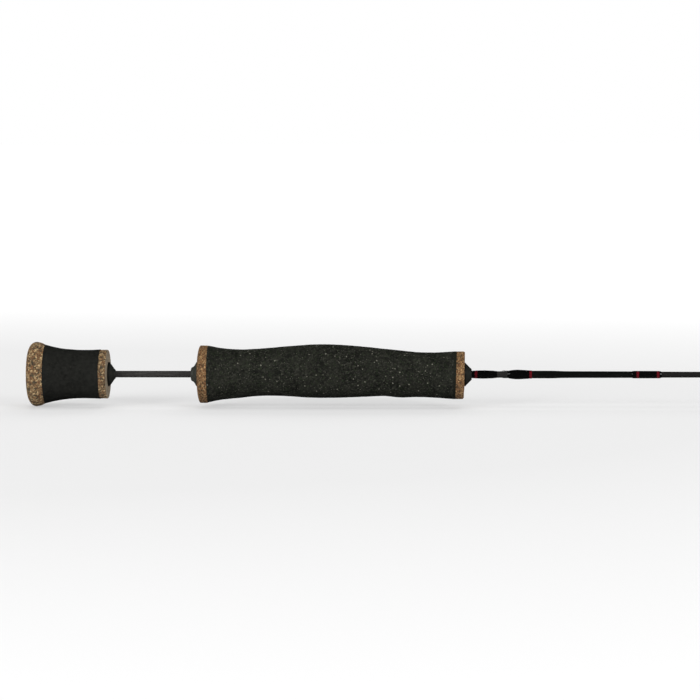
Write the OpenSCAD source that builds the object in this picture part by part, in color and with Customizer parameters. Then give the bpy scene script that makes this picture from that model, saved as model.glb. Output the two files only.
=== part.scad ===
// Split-grip ice fishing rod with a folding hook keeper, single-foot guides and a tip-top.
// +X runs from the butt to the tip and +Z is up. The origin is the centre of the butt face.
// The guides, the reel side of the grip and the hook keeper all face +Y.

/* [Blank] */
// Length from the butt face to the front of the tip-top ring
rod_length = 711; // [640:1:900]
// Diameter of the blank in the handle
blank_butt_d = 3.32; // [3.1:0.02:3.6]
// Diameter of the blank under the first guide's wrap
blank_mid_d = 2.98; // [2.7:0.02:3.1]
// Diameter of the blank at the tip
blank_tip_d = 1; // [0.8:0.05:1.4]

/* [Butt knob] */
// Length of the knob, from the butt face to its front face
knob_length = 40; // [36:0.5:48]
// Largest diameter of the domed end cork
knob_end_d = 32.3; // [30:0.1:36]
// Diameter of the knob's waist
knob_waist_d = 24.3; // [22:0.1:26]
// Length of the end cork
knob_end_cork_length = 8.4; // [7:0.1:10]
// Length of the thin front cork ring
knob_front_cork_length = 3.9; // [2:0.1:5]

/* [Foregrip] */
// Place of the foregrip's rear face
grip_start = 84.95; // [80:0.05:100]
// Length of the foregrip, from its rear face to its front face
grip_length = 133.4; // [130:0.1:140]
// Length of the rear cork ring
grip_rear_cork_length = 5.25; // [4:0.05:8]
// Length of the front cork ring
grip_front_cork_length = 4.1; // [3:0.1:8]
// Length of the dark shim behind the front cork ring
grip_shim_length = 1.4; // [0.8:0.1:2]

/* [Guides] */
// Place of the first guide's ring
first_guide_x = 342; // [338:0.5:350]
// Outside diameter of the first guide's ring insert
first_ring_d = 9; // [8:0.1:10]
// Outside diameter of the last guide's ring insert
last_ring_d = 4; // [3.8:0.1:4.4]
// Outside diameter of the tip-top's ring insert
tip_ring_d = 3.8; // [3.4:0.1:4.4]
// How much shorter each gap between guides is than the one before
guide_gap_ratio = 0.855; // [0.8:0.005:0.95]

/* [Hook keeper] */
// Length of the keeper's loop from its pin
keeper_loop_length = 6.6; // [5:0.1:8]
// Diameter of the keeper's pin
keeper_pin_d = 0.5; // [0.4:0.05:0.6]

/* [Hidden] */
$fn = 48;
GUIDES = 5;
GUIDE_PARTS = ["frame", "ring", "wrap", "trim"];
GUIDE_NODES = [for (i = [1 : GUIDES]) for (p = GUIDE_PARTS) str("guide", i, "_", p)];
HANDLE_NODES = [
    "blank", "label_coat",
    "knob_end_cork", "knob_body", "knob_front_cork", "knob_arbor", "knob_check",
    "grip_rear_check", "grip_rear_cork", "grip_body", "grip_shim", "grip_front_cork",
    "grip_arbor", "grip_front_check",
    "keeper_base", "keeper_pin", "keeper_loop",
    "keeper_rear_wrap", "keeper_rear_trim", "keeper_front_wrap", "keeper_front_trim"
];
TIP_NODES = ["tip_frame", "tip_ring", "tip_wrap", "tip_trim"];

CARBON = [0.15, 0.15, 0.15];
CORK = [0.55, 0.42, 0.28];
FOAM = [0.11, 0.11, 0.11];
GRANULATE = [0.16, 0.17, 0.15];
DARK_METAL = [0.17, 0.18, 0.17];
BLACK_THREAD = [0.03, 0.03, 0.03];
RED_THREAD = [0.7, 0.05, 0.15];
STEEL = [0.75, 0.76, 0.78];
CERAMIC = [0.3, 0.31, 0.33];
ARBOR_GREY = [0.45, 0.45, 0.42];

// The blank ends inside the end cork, and inside the tip-top's tube
BLANK_START = 4.6;
BLANK_TAPER_START = 222;
BLANK_MID_X = 320;
TIP_BACK_OFF = 3;
blank_end = rod_length - TIP_BACK_OFF;
ARBOR_R = 3.4;
CHECK_SEAT_R = 6.1;
CHECK_WALL = 0.55;

// Knob
knob_end_r = knob_end_d / 2;
knob_waist_r = knob_waist_d / 2;
knob_joint_r = knob_waist_r + 2.55;
knob_flare_r = knob_waist_r + 0.2;
knob_front_r = knob_waist_r + 0.05;
KNOB_FACE_R = 11;
KNOB_EDGE_DEPTH = 4;
knob_front_joint = knob_length - knob_front_cork_length;
knob_waist_span = knob_front_joint - knob_end_cork_length;
KNOB_EDGE_R = 0.45;
// Each outline holds [distance, radius]
KNOB_END_FALL = [[0, knob_end_r], [2.2, knob_end_r - 0.42], [4.4, knob_joint_r]];
KNOB_FLARE = [
    [0, knob_joint_r],
    [knob_waist_span * 0.16, knob_waist_r + 1.45],
    [knob_waist_span * 0.36, knob_waist_r + 0.52],
    [knob_waist_span * 0.62, knob_waist_r],
    [knob_waist_span * 0.82, knob_waist_r],
    [knob_waist_span, knob_flare_r]
];
KNOB_CHECK_LENGTH = 3.65;
KNOB_CHECK = [[0, 6.05], [1.25, 4.5], [1.95, 3.45], [2.6, 2.6], [3.1, 2.1]];

// Foregrip. Each station holds [share of the body's length, radius, rise of its centre]
grip_body_start = grip_start + grip_rear_cork_length;
grip_end = grip_start + grip_length;
grip_front_joint = grip_end - grip_front_cork_length;
grip_shim_start = grip_front_joint - grip_shim_length;
grip_body_length = grip_shim_start - grip_body_start;
GRIP_STATIONS = [
    [0, 14.2, 0.1],
    [0.055, 12.95, 0.15],
    [0.13, 12.15, 0.3],
    [0.21, 11.85, 1],
    [0.31, 12.4, 1.5],
    [0.42, 13.3, 1.6],
    [0.51, 13.35, 1.6],
    [0.63, 12.6, 1.35],
    [0.715, 11.85, 1],
    [0.79, 11.75, 0.2],
    [0.85, 11.25, -0.1],
    [0.93, 11.35, -0.35],
    [1, 11.85, -0.4]
];
GRIP_RINGS = 52;
GRIP_SIDES = 36;
GRIP_REAR_R = 14.4;
GRIP_REAR_DOME = 1.6;
GRIP_FRONT_R = 11.9;
GRIP_FRONT_DROP = -0.4;
GRIP_FRONT_EDGE = 0.9;
GRIP_REAR_BAND = 0.6;
REAR_CHECK_LENGTH = 3.4;
REAR_CHECK = [[0, 2.5], [0.12, 3], [0.5, 3.4], [1.1, 3.7], [1.7, 4.35], [2.3, 5.3], [2.7, 6.05]];
FRONT_CHECK_LENGTH = 3.6;
FRONT_CHECK = [[0, 5.9], [0.3, 5.5], [1.3, 4.5], [2.3, 3.45], [2.85, 2.95]];
FRONT_CHECK_RIM_R = 5.95;
FRONT_CHECK_RIM = 0.45;
FRONT_CHECK_NOSE_R = 2.6;

// Hook keeper, between its two thread wraps. The stations hold [place, radius]
keeper_wrap_start = grip_end + FRONT_CHECK_LENGTH;
REAR_WRAP = [[0, 1.86], [1.8, 1.96], [4, 2.04], [6.3, 2.08], [8.5, 2], [10.6, 1.92], [12, 1.74]];
REAR_TRIM = [1.5, 2.8];
FRONT_WRAP = [[0, 1.86], [1, 2.1], [4.2, 2.4], [7.4, 2.26], [10, 2.1], [11.65, 2.02]];
FRONT_TRIM = [10.35, 11.65];
FRONT_WRAP_OFFSET = 18.35;
KEEPER_PIN_OFFSET = 16.25;
front_wrap_start = keeper_wrap_start + FRONT_WRAP_OFFSET;
keeper_pin_x = keeper_wrap_start + KEEPER_PIN_OFFSET;
KEEPER_PIN_Y = 3;
KEEPER_EAR = [1.3, 1.7];
KEEPER_EAR_R = 0.72;
KEEPER_EAR_LOW = 1.1;
KEEPER_EYE = [0.74, 1.26];
KEEPER_EYE_R = 0.62;
KEEPER_WIRE_R = 0.26;
KEEPER_LAP = 0.04;
KEEPER_FIT = 0.04;
KEEPER_FOOT = [[0, 0.42], [3.6, 0.42], [6.4, 0.34], [10.6, 0.08]];
KEEPER_FOOT_LOW = 0.4;
KEEPER_SADDLE_R = 4;
KEEPER_FOOT_BACK = 1.6;
keeper_foot_start = keeper_pin_x - KEEPER_FOOT_BACK;

// Gloss coat on the blank, from the keeper to the first guide. The stations hold [share, radius]
coat_start = front_wrap_start + FRONT_WRAP[5][0];
COAT = [[0, 1.9], [0.18, 1.87], [0.3, 1.76], [0.7, 1.67], [1, 1.62]];
COAT_STEPS = 20;

// Guides
THREAD = 0.34;
WRAP_START_THREAD = 0.2;
FIRST_WRAP_LENGTH = 13.35;
WRAP_SHORTENING = 1.2;
FIRST_REACH = 26.8;
LAST_REACH = 7;
FOOT_THICK = 0.45;
FOOT_COVER = 0.22;
FOOT_SHARE = 0.5;
FOOT_OUT = 0.9;
FOOT_POINT = 0.33;
FOOT_POINT_LENGTH = 3;
COVER_SHARE = 0.72;
RING_WALL = 0.82;
RING_LENGTH = 1.3;
HOLDER_WALL = 0.36;
HOLDER_LENGTH = 0.8;
LEG_R = 0.3;
STEM_R = 0.4;
FORK_R = 0.46;
FORK_THICK = 0.66;
STEM_BACK = 0.55;
STEM_LOW = 0.18;
FORK_SHARE = 0.74;
FORK_RISE = 0.8;
LEG_SPREAD = 38;
FIRST_STAND = 3;
LAST_STAND = 1.5;
TRIM_LENGTH = 1.25;
TRIM_INSET = 2;
guide_gap_sum = (1 - pow(guide_gap_ratio, GUIDES)) / (1 - guide_gap_ratio);
guide_first_gap = (rod_length - first_guide_x) / guide_gap_sum;

// Tip-top
TIP_TUBE_LENGTH = 9;
TIP_TUBE_WALL = 0.3;
TIP_TUBE_END = 0.4;
TIP_RING_RISE = 0.7;
TIP_WRAP_LENGTH = 6;
TIP_WRAP_OVERLAP = 1.2;
TIP_STRUT_BACK = 1.6;
TIP_BRACE_BACK = 0.4;
TIP_BRACE_R = 0.36;

// Index of the station pair that holds x
function pair_at(list, x, i = 0) =
    i >= len(list) - 2 || x < list[i + 1][0] ? i : pair_at(list, x, i + 1);

// Slope of column k at station i
function slope_at(list, i, k) =
    let (
        a = list[max(i - 1, 0)],
        b = list[min(i + 1, len(list) - 1)]
    )
    (b[k] - a[k]) / (b[0] - a[0]);

// Smooth value of column k at x, through every station
function smooth_at(list, x, k = 1) =
    let (
        i = pair_at(list, x),
        a = list[i],
        b = list[i + 1],
        h = b[0] - a[0],
        t = (x - a[0]) / h,
        u = 1 - t
    )
    a[k] * u * u * (1 + 2 * t) + b[k] * t * t * (1 + 2 * u)
    + h * t * u * (slope_at(list, i, k) * u - slope_at(list, i + 1, k) * t);

// Radius of the blank at x
function blank_r(x) =
    x < BLANK_TAPER_START ? blank_butt_d / 2
    : x < BLANK_MID_X ? lerp(BLANK_TAPER_START, blank_butt_d / 2, BLANK_MID_X, blank_mid_d / 2, x)
    : lerp(BLANK_MID_X, blank_mid_d / 2, blank_end, blank_tip_d / 2, x);

// Straight line through two places
function lerp(x0, y0, x1, y1, x) = y0 + (y1 - y0) * (x - x0) / (x1 - x0);

// Points [radius, x] of a curve through stations, from share a to share b of their span
function curve(list, start, steps, a = 0, b = 1) =
    let (span = list[len(list) - 1][0])
    [for (j = [0 : steps]) let (x = span * (a + (b - a) * j / steps)) [smooth_at(list, x), start + x]];

// Points [radius, x] of a quarter ellipse about [r, x], from angle a to angle b
function ellipse(r, x, size_r, size_x, a, b, steps = 10) =
    [for (j = [0 : steps]) let (q = a + (b - a) * j / steps) [r + size_r * sin(q), x + size_x * cos(q)]];

// A solid turned about the rod's axis from points [radius, x]
module turned(points) {
    rotate([0, 90, 0])
        rotate_extrude()
            polygon(points);
}

// A cylinder or cone along the rod's axis
module along(x0, x1, r0, r1) {
    translate([x0, 0, 0])
        rotate([0, 90, 0])
            cylinder(r1 = r0, r2 = r1, h = x1 - x0);
}

// A round bar between two points
module bar(a, b, r) {
    d = b - a;
    translate(a)
        rotate([0, acos(d[2] / norm(d)), atan2(d[1], d[0])])
            cylinder(r = r, h = norm(d));
}

// The blank's outside, which every wrap and foot is fitted to
module blank_shape() {
    along(BLANK_START, BLANK_TAPER_START, blank_butt_d / 2, blank_butt_d / 2);
    along(BLANK_TAPER_START, BLANK_MID_X, blank_butt_d / 2, blank_mid_d / 2);
    along(BLANK_MID_X, blank_end, blank_mid_d / 2, blank_tip_d / 2);
}

module blank() {
    color(CARBON)
        blank_shape();
}

module label_coat() {
    coat_end = wrap_start(0);
    color(BLACK_THREAD)
        difference() {
            turned(concat(
                [[0, coat_start]],
                [
                    for (j = [0 : COAT_STEPS])
                        let (share = j / COAT_STEPS)
                        [smooth_at(COAT, share), lerp(0, coat_start, 1, coat_end, share)]
                ],
                [[0, coat_end]]
            ));
            blank_shape();
        }
}

// ---- Butt knob ----

module knob_end_cork() {
    color(CORK)
        difference() {
            turned(concat(
                [[0, 0]],
                ellipse(KNOB_FACE_R, KNOB_EDGE_DEPTH, knob_end_r - KNOB_FACE_R, KNOB_EDGE_DEPTH, 180, 90),
                curve(KNOB_END_FALL, KNOB_EDGE_DEPTH, 8, 0.1),
                [[0, knob_end_cork_length]]
            ));
            along(BLANK_START, knob_end_cork_length + 1, ARBOR_R, ARBOR_R);
        }
}

module knob_body() {
    color(FOAM)
        difference() {
            turned(concat(
                [[0, knob_end_cork_length]],
                curve(KNOB_FLARE, knob_end_cork_length, 28),
                [[0, knob_front_joint]]
            ));
            along(knob_end_cork_length - 1, knob_length, ARBOR_R, ARBOR_R);
        }
}

module knob_front_cork() {
    r = knob_front_r - KNOB_EDGE_R;
    color(CORK)
        difference() {
            turned(concat(
                [[0, knob_front_joint], [knob_front_r, knob_front_joint]],
                ellipse(r, knob_length - KNOB_EDGE_R, KNOB_EDGE_R, KNOB_EDGE_R, 90, 0, 6),
                [[0, knob_length]]
            ));
            along(knob_front_joint - 1, knob_length + 1, ARBOR_R, ARBOR_R);
        }
}

// Tube that fills the space between a grip's bore and the blank
module arbor(x0, x1) {
    color(ARBOR_GREY)
        difference() {
            along(x0, x1, ARBOR_R, ARBOR_R);
            along(x0 - 1, x1 + 1, blank_butt_d / 2, blank_butt_d / 2);
        }
}

module knob_arbor() {
    arbor(BLANK_START, knob_length);
}

module knob_check() {
    color(DARK_METAL)
        difference() {
            turned(concat(
                [[0, knob_length], [CHECK_SEAT_R, knob_length], [CHECK_SEAT_R, knob_length + CHECK_WALL]],
                curve(KNOB_CHECK, knob_length + CHECK_WALL, 12),
                [[0, knob_length + KNOB_CHECK_LENGTH]]
            ));
            blank_shape();
        }
}

// ---- Foregrip ----

module grip_rear_check() {
    nose = grip_start - REAR_CHECK_LENGTH;
    color(DARK_METAL)
        difference() {
            turned(concat(
                [[0, nose]],
                curve(REAR_CHECK, nose, 18),
                [[CHECK_SEAT_R, grip_start], [0, grip_start]]
            ));
            blank_shape();
        }
}

module grip_rear_cork() {
    rim_x = grip_start + GRIP_REAR_DOME;
    color(CORK)
        difference() {
            turned(concat(
                [[0, grip_start], [CHECK_SEAT_R, grip_start]],
                ellipse(CHECK_SEAT_R, rim_x, GRIP_REAR_R - CHECK_SEAT_R, GRIP_REAR_DOME, 180, 90, 12),
                [[GRIP_REAR_R, grip_body_start - GRIP_REAR_BAND], [GRIP_STATIONS[0][1], grip_body_start]],
                [[0, grip_body_start]]
            ));
            along(grip_start - 1, grip_body_start + 1, ARBOR_R, ARBOR_R);
        }
}

// Shaped body whose round sections rise and fall about the axis
module grip_loft() {
    points = [
        for (j = [0 : GRIP_RINGS])
            let (
                share = j / GRIP_RINGS,
                r = smooth_at(GRIP_STATIONS, share, 1),
                rise = smooth_at(GRIP_STATIONS, share, 2)
            )
            for (k = [0 : GRIP_SIDES - 1])
                let (a = 360 * k / GRIP_SIDES)
                [grip_body_start + grip_body_length * share, r * sin(a), rise + r * cos(a)]
    ];
    sides = [
        for (j = [0 : GRIP_RINGS - 1])
            for (k = [0 : GRIP_SIDES - 1])
                let (
                    a = j * GRIP_SIDES + k,
                    b = j * GRIP_SIDES + (k + 1) % GRIP_SIDES
                )
                [a, a + GRIP_SIDES, b + GRIP_SIDES, b]
    ];
    rear = [for (k = [0 : GRIP_SIDES - 1]) k];
    front = [for (k = [0 : GRIP_SIDES - 1]) (GRIP_RINGS + 1) * GRIP_SIDES - 1 - k];
    polyhedron(points = points, faces = concat([rear], sides, [front]));
}

module grip_body() {
    color(GRANULATE)
        difference() {
            grip_loft();
            along(grip_body_start - 1, grip_shim_start + 1, ARBOR_R, ARBOR_R);
        }
}

module grip_shim() {
    color(BLACK_THREAD)
        difference() {
            translate([0, 0, GRIP_FRONT_DROP])
                along(grip_shim_start, grip_front_joint, GRIP_FRONT_R, GRIP_FRONT_R);
            along(grip_shim_start - 1, grip_front_joint + 1, ARBOR_R, ARBOR_R);
        }
}

module grip_front_cork() {
    color(CORK)
        difference() {
            translate([0, 0, GRIP_FRONT_DROP])
                turned(concat(
                    [[0, grip_front_joint], [GRIP_FRONT_R, grip_front_joint]],
                    ellipse(
                        GRIP_FRONT_R - GRIP_FRONT_EDGE, grip_end - GRIP_FRONT_EDGE,
                        GRIP_FRONT_EDGE, GRIP_FRONT_EDGE, 90, 0, 8
                    ),
                    [[0, grip_end]]
                ));
            along(grip_front_joint - 1, grip_end + 1, ARBOR_R, ARBOR_R);
        }
}

module grip_arbor() {
    arbor(grip_start, grip_end);
}

module grip_front_check() {
    nose = grip_end + FRONT_CHECK_LENGTH;
    color(DARK_METAL)
        difference() {
            turned(concat(
                [[0, grip_end], [FRONT_CHECK_RIM_R, grip_end]],
                curve(FRONT_CHECK, grip_end + FRONT_CHECK_RIM, 12),
                [[FRONT_CHECK_NOSE_R, nose], [0, nose]]
            ));
            blank_shape();
        }
}

// ---- Hook keeper and its wraps ----

// A length of thread wrap: the part of a wrap's outline from x0 to x1, down to the blank
module thread_band(outline, start, x0, x1) {
    span = outline[len(outline) - 1][0];
    difference() {
        turned(concat(
            [[0, start + x0]],
            curve(outline, start, 14, x0 / span, x1 / span),
            [[0, start + x1]]
        ));
        blank_shape();
    }
}

module keeper_rear_wrap() {
    color(BLACK_THREAD) {
        thread_band(REAR_WRAP, keeper_wrap_start, 0, REAR_TRIM[0]);
        thread_band(REAR_WRAP, keeper_wrap_start, REAR_TRIM[1], REAR_WRAP[6][0]);
    }
}

module keeper_rear_trim() {
    color(RED_THREAD)
        thread_band(REAR_WRAP, keeper_wrap_start, REAR_TRIM[0], REAR_TRIM[1]);
}

module keeper_front_wrap() {
    color(BLACK_THREAD)
        difference() {
            thread_band(FRONT_WRAP, front_wrap_start, 0, FRONT_TRIM[0]);
            keeper_foot();
        }
}

module keeper_front_trim() {
    color(RED_THREAD)
        thread_band(FRONT_WRAP, front_wrap_start, FRONT_TRIM[0], FRONT_TRIM[1]);
}

// Saddle that sits on the far half of the blank and thins out under the front wrap
module keeper_foot() {
    intersection() {
        turned(concat(
            [[0, keeper_foot_start]],
            [for (s = KEEPER_FOOT) [blank_r(keeper_foot_start + s[0]) + s[1], keeper_foot_start + s[0]]],
            [[0, keeper_foot_start + KEEPER_FOOT[3][0]]]
        ));
        translate([keeper_foot_start - 1, KEEPER_FOOT_LOW, -KEEPER_SADDLE_R])
            cube([KEEPER_FOOT[3][0] + 2, KEEPER_SADDLE_R, 2 * KEEPER_SADDLE_R]);
    }
}

module keeper_base() {
    ear = KEEPER_EAR[1] - KEEPER_EAR[0];
    ear_width = 2 * KEEPER_EAR_R - 0.1;
    color(STEEL)
        difference() {
            union() {
                keeper_foot();
                for (side = [-1, 1])
                    translate([keeper_pin_x, 0, side * (KEEPER_EAR[0] + KEEPER_EAR[1]) / 2]) {
                        translate([0, KEEPER_PIN_Y, 0])
                            cylinder(r = KEEPER_EAR_R, h = ear, center = true);
                        translate([0, (KEEPER_EAR_LOW + KEEPER_PIN_Y) / 2, 0])
                            cube([ear_width, KEEPER_PIN_Y - KEEPER_EAR_LOW, ear], center = true);
                    }
            }
            blank_shape();
            translate([keeper_pin_x, KEEPER_PIN_Y, 0])
                cylinder(d = keeper_pin_d, h = 3 * KEEPER_EAR[1], center = true);
        }
}

module keeper_pin() {
    color(STEEL)
        translate([keeper_pin_x, KEEPER_PIN_Y, 0])
            cylinder(d = keeper_pin_d, h = 2 * KEEPER_EAR[1] + 0.1, center = true);
}

// Wire loop, folded back along the rear wrap
module keeper_loop() {
    leg_z = (KEEPER_EYE[0] + KEEPER_EYE[1]) / 2;
    bend_x = keeper_pin_x - keeper_loop_length + leg_z;
    color(STEEL)
        difference() {
            union() {
                for (side = [-1, 1]) {
                    translate([keeper_pin_x, KEEPER_PIN_Y, side * leg_z])
                        cylinder(r = KEEPER_EYE_R, h = KEEPER_EYE[1] - KEEPER_EYE[0], center = true);
                    translate([bend_x - KEEPER_LAP, KEEPER_PIN_Y, side * leg_z])
                        rotate([0, 90, 0])
                            cylinder(r = KEEPER_WIRE_R - KEEPER_LAP / 8, h = keeper_pin_x - bend_x);
                }
                translate([bend_x, KEEPER_PIN_Y, 0])
                    rotate([90, 0, 0])
                        rotate_extrude(angle = 180, start = 90)
                            translate([leg_z, 0])
                                circle(r = KEEPER_WIRE_R);
            }
            translate([keeper_pin_x, KEEPER_PIN_Y, 0])
                cylinder(r = keeper_pin_d / 2 + KEEPER_FIT, h = 3 * KEEPER_EAR[1], center = true);
        }
}

// ---- Guides ----

// Place of guide i's ring, with the gaps growing shorter towards the tip
function guide_x(i) =
    first_guide_x + guide_first_gap * (1 - pow(guide_gap_ratio, i)) / (1 - guide_gap_ratio);

// Outside radius of guide i's ring insert
function ring_r(i) = lerp(0, first_ring_d / 2, GUIDES - 1, last_ring_d / 2, i);

// Height of guide i's ring centre over the rod's axis
function ring_y(i) = blank_r(guide_x(i)) + ring_r(i) + lerp(0, FIRST_STAND, GUIDES - 1, LAST_STAND, i);

// Ends of guide i's wrap. The wraps and the reach of the frames grow shorter towards the tip
function wrap_end(i) = guide_x(i) - lerp(0, FIRST_REACH, GUIDES - 1, LAST_REACH, i);
function wrap_start(i) = wrap_end(i) - FIRST_WRAP_LENGTH + WRAP_SHORTENING * i;

// Ring insert: a straight bore with rounded mouths, about the axis at height y
module ring_insert(x, y, r) {
    half = RING_LENGTH / 2;
    land = 0.25;
    lip = half - land;
    bore = r - RING_WALL;
    color(CERAMIC)
        translate([0, y, 0])
            turned(concat(
                [[bore, x - land]],
                [for (q = [15 : 15 : 90]) [bore + lip * (1 - cos(q)), x - land - lip * sin(q)]],
                [[r - 0.12, x - half], [r, x - half + 0.12], [r, x + half - 0.12], [r - 0.12, x + half]],
                [for (q = [90 : -15 : 15]) [bore + lip * (1 - cos(q)), x + land + lip * sin(q)]],
                [[bore, x + land]]
            ));
}

// Flat band that holds a ring insert
module ring_holder(x, y, r) {
    translate([0, y, 0])
        difference() {
            along(x - HOLDER_LENGTH / 2, x + HOLDER_LENGTH / 2, r + HOLDER_WALL, r + HOLDER_WALL);
            along(x - HOLDER_LENGTH, x + HOLDER_LENGTH, r, r);
        }
}

// Foot that lies along the blank under the wrap and thins out towards the butt
module guide_foot(i) {
    top = blank_r(wrap_end(i)) + FOOT_THICK;
    back = wrap_start(i) + TRIM_INSET + TRIM_LENGTH;
    front = wrap_end(i) + FOOT_OUT;
    half_w = FOOT_SHARE * blank_r(wrap_end(i));
    intersection() {
        translate([0, 0, -half_w])
            linear_extrude(height = 2 * half_w)
                polygon([
                    [back, half_w],
                    [back, top - FOOT_POINT],
                    [back + FOOT_POINT_LENGTH, top],
                    [front, top],
                    [front, half_w]
                ]);
        along(back - 1, front + 1, top, top);
    }
}

// Foot, stem, two legs that fork from the stem, and the ring's holder
module guide_frame(i) {
    x = guide_x(i);
    reach = ring_r(i) + HOLDER_WALL / 2;
    legs_y = ring_y(i) - reach * cos(LEG_SPREAD);
    foot = [wrap_end(i) + STEM_BACK, blank_r(wrap_end(i)) + STEM_LOW, 0];
    fork = [lerp(0, foot[0], 1, x, FORK_SHARE), lerp(0, foot[1], 1, legs_y, FORK_SHARE * FORK_RISE), 0];
    color(STEEL)
        difference() {
            union() {
                guide_foot(i);
                ring_holder(x, ring_y(i), ring_r(i));
                bar(foot, fork, STEM_R);
                translate(fork)
                    cylinder(r = FORK_R, h = FORK_THICK, center = true);
                for (side = [-1, 1])
                    bar(fork, [x, legs_y, side * reach * sin(LEG_SPREAD)], LEG_R);
            }
            blank_shape();
            translate([0, ring_y(i), 0])
                along(x - HOLDER_LENGTH, x + HOLDER_LENGTH, ring_r(i), ring_r(i));
        }
}

module guide_ring(i) {
    ring_insert(guide_x(i), ring_y(i), ring_r(i));
}

// Wrap's outside from x0 to x1: round the blank, and up over the foot
module wrap_outside(i, x0, x1) {
    r0 = blank_r(x0) + THREAD;
    r1 = blank_r(x1) + THREAD;
    cover = COVER_SHARE * blank_r(wrap_end(i)) + THREAD;
    lift = blank_r(wrap_end(i)) + FOOT_THICK + FOOT_COVER - cover;
    along(x0, x1, r0, r1);
    translate([0, lift, 0])
        along(x0, x1, cover, cover);
}

module guide_wrap(i) {
    a = wrap_start(i);
    b = wrap_end(i);
    foot_back = a + TRIM_INSET + TRIM_LENGTH;
    color(BLACK_THREAD)
        difference() {
            union() {
                along(a, a + TRIM_INSET, blank_r(a) + WRAP_START_THREAD, blank_r(a) + THREAD);
                wrap_outside(i, foot_back, b - TRIM_LENGTH);
            }
            blank_shape();
            guide_foot(i);
        }
}

module guide_trim(i) {
    a = wrap_start(i) + TRIM_INSET;
    b = wrap_end(i);
    color(RED_THREAD)
        difference() {
            union() {
                along(a, a + TRIM_LENGTH, blank_r(a) + THREAD, blank_r(a) + THREAD);
                wrap_outside(i, b - TRIM_LENGTH, b);
            }
            blank_shape();
            guide_foot(i);
        }
}

// ---- Tip-top ----

function tip_r() = tip_ring_d / 2;
function tip_x() = rod_length - RING_LENGTH / 2;
function tip_y() = tip_r() + TIP_RING_RISE;
function tip_tube_start() = blank_end - TIP_TUBE_LENGTH;

module tip_tube() {
    r = blank_r(tip_tube_start()) + TIP_TUBE_WALL;
    along(tip_tube_start(), blank_end + TIP_TUBE_END, r, r);
}

module tip_frame() {
    x = tip_x();
    reach = tip_r() + HOLDER_WALL / 2;
    tube_r = blank_r(tip_tube_start());
    color(STEEL)
        difference() {
            union() {
                tip_tube();
                ring_holder(x, tip_y(), tip_r());
                for (side = [-1, 1])
                    bar(
                        [blank_end - TIP_STRUT_BACK, tube_r / 2, side * tube_r],
                        [x, tip_y(), side * reach],
                        LEG_R
                    );
                bar([blank_end - TIP_BRACE_BACK, 0, 0], [x, tip_y() - reach, 0], TIP_BRACE_R);
            }
            blank_shape();
            translate([0, tip_y(), 0])
                along(x - TIP_BACK_OFF, x + RING_LENGTH, tip_r(), tip_r());
        }
}

module tip_ring() {
    ring_insert(tip_x(), tip_y(), tip_r());
}

// The wrap starts on the blank and ends over the back of the tip-top's tube
module tip_wrap_band(x0, x1) {
    difference() {
        along(x0, x1, blank_r(x0) + TIP_TUBE_WALL + FOOT_COVER, blank_r(x0) + TIP_TUBE_WALL + FOOT_COVER);
        blank_shape();
        tip_tube();
    }
}

module tip_wrap() {
    start = tip_tube_start() - TIP_WRAP_LENGTH + TIP_WRAP_OVERLAP;
    color(BLACK_THREAD)
        tip_wrap_band(start, start + TIP_WRAP_LENGTH - TRIM_LENGTH);
}

module tip_trim() {
    end = tip_tube_start() + TIP_WRAP_OVERLAP;
    color(RED_THREAD)
        tip_wrap_band(end - TRIM_LENGTH, end);
}

// ---- Every node ----

blank();
label_coat();
knob_end_cork();
knob_body();
knob_front_cork();
knob_arbor();
knob_check();
grip_rear_check();
grip_rear_cork();
grip_body();
grip_shim();
grip_front_cork();
grip_arbor();
grip_front_check();
keeper_base();
keeper_pin();
keeper_loop();
keeper_rear_wrap();
keeper_rear_trim();
keeper_front_wrap();
keeper_front_trim();
for (i = [0 : GUIDES - 1]) {
    guide_frame(i);
    guide_ring(i);
    guide_wrap(i);
    guide_trim(i);
}
tip_frame();
tip_ring();
tip_wrap();
tip_trim();
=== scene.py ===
import math

import bpy
import numpy as np
from bpy.props import FloatProperty, FloatVectorProperty, IntProperty, PointerProperty
from mathutils import Matrix, Vector, noise


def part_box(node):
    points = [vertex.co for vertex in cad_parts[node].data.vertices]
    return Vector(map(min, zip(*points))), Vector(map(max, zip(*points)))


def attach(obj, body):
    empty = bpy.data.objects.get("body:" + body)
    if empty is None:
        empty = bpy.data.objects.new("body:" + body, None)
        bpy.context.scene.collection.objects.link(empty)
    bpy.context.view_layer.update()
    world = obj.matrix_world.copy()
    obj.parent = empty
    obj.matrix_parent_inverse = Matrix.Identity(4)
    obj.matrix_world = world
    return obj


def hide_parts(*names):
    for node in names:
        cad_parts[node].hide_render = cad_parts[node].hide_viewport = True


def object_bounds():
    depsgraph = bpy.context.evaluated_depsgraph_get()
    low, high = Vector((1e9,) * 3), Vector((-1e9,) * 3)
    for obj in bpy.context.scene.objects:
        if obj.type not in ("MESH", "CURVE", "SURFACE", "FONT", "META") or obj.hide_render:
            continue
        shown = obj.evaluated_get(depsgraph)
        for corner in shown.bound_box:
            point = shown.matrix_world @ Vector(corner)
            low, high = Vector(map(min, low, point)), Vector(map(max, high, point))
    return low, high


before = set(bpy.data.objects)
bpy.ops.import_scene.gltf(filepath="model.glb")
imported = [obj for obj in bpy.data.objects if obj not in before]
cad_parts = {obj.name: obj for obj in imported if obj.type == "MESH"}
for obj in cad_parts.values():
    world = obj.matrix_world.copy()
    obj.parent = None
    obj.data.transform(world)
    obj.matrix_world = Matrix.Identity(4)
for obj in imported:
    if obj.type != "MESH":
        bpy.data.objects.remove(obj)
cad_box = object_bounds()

bl_info = {
    "name": "Ice Fishing Rod",
    "version": (1, 0, 0),
    "blender": (4, 5, 0),
    "location": "View3D > Sidebar > Ice Rod",
    "description": "Builds the cork, foam, thread, guides and finish of a split-grip ice fishing rod",
    "category": "Object",
}

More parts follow.
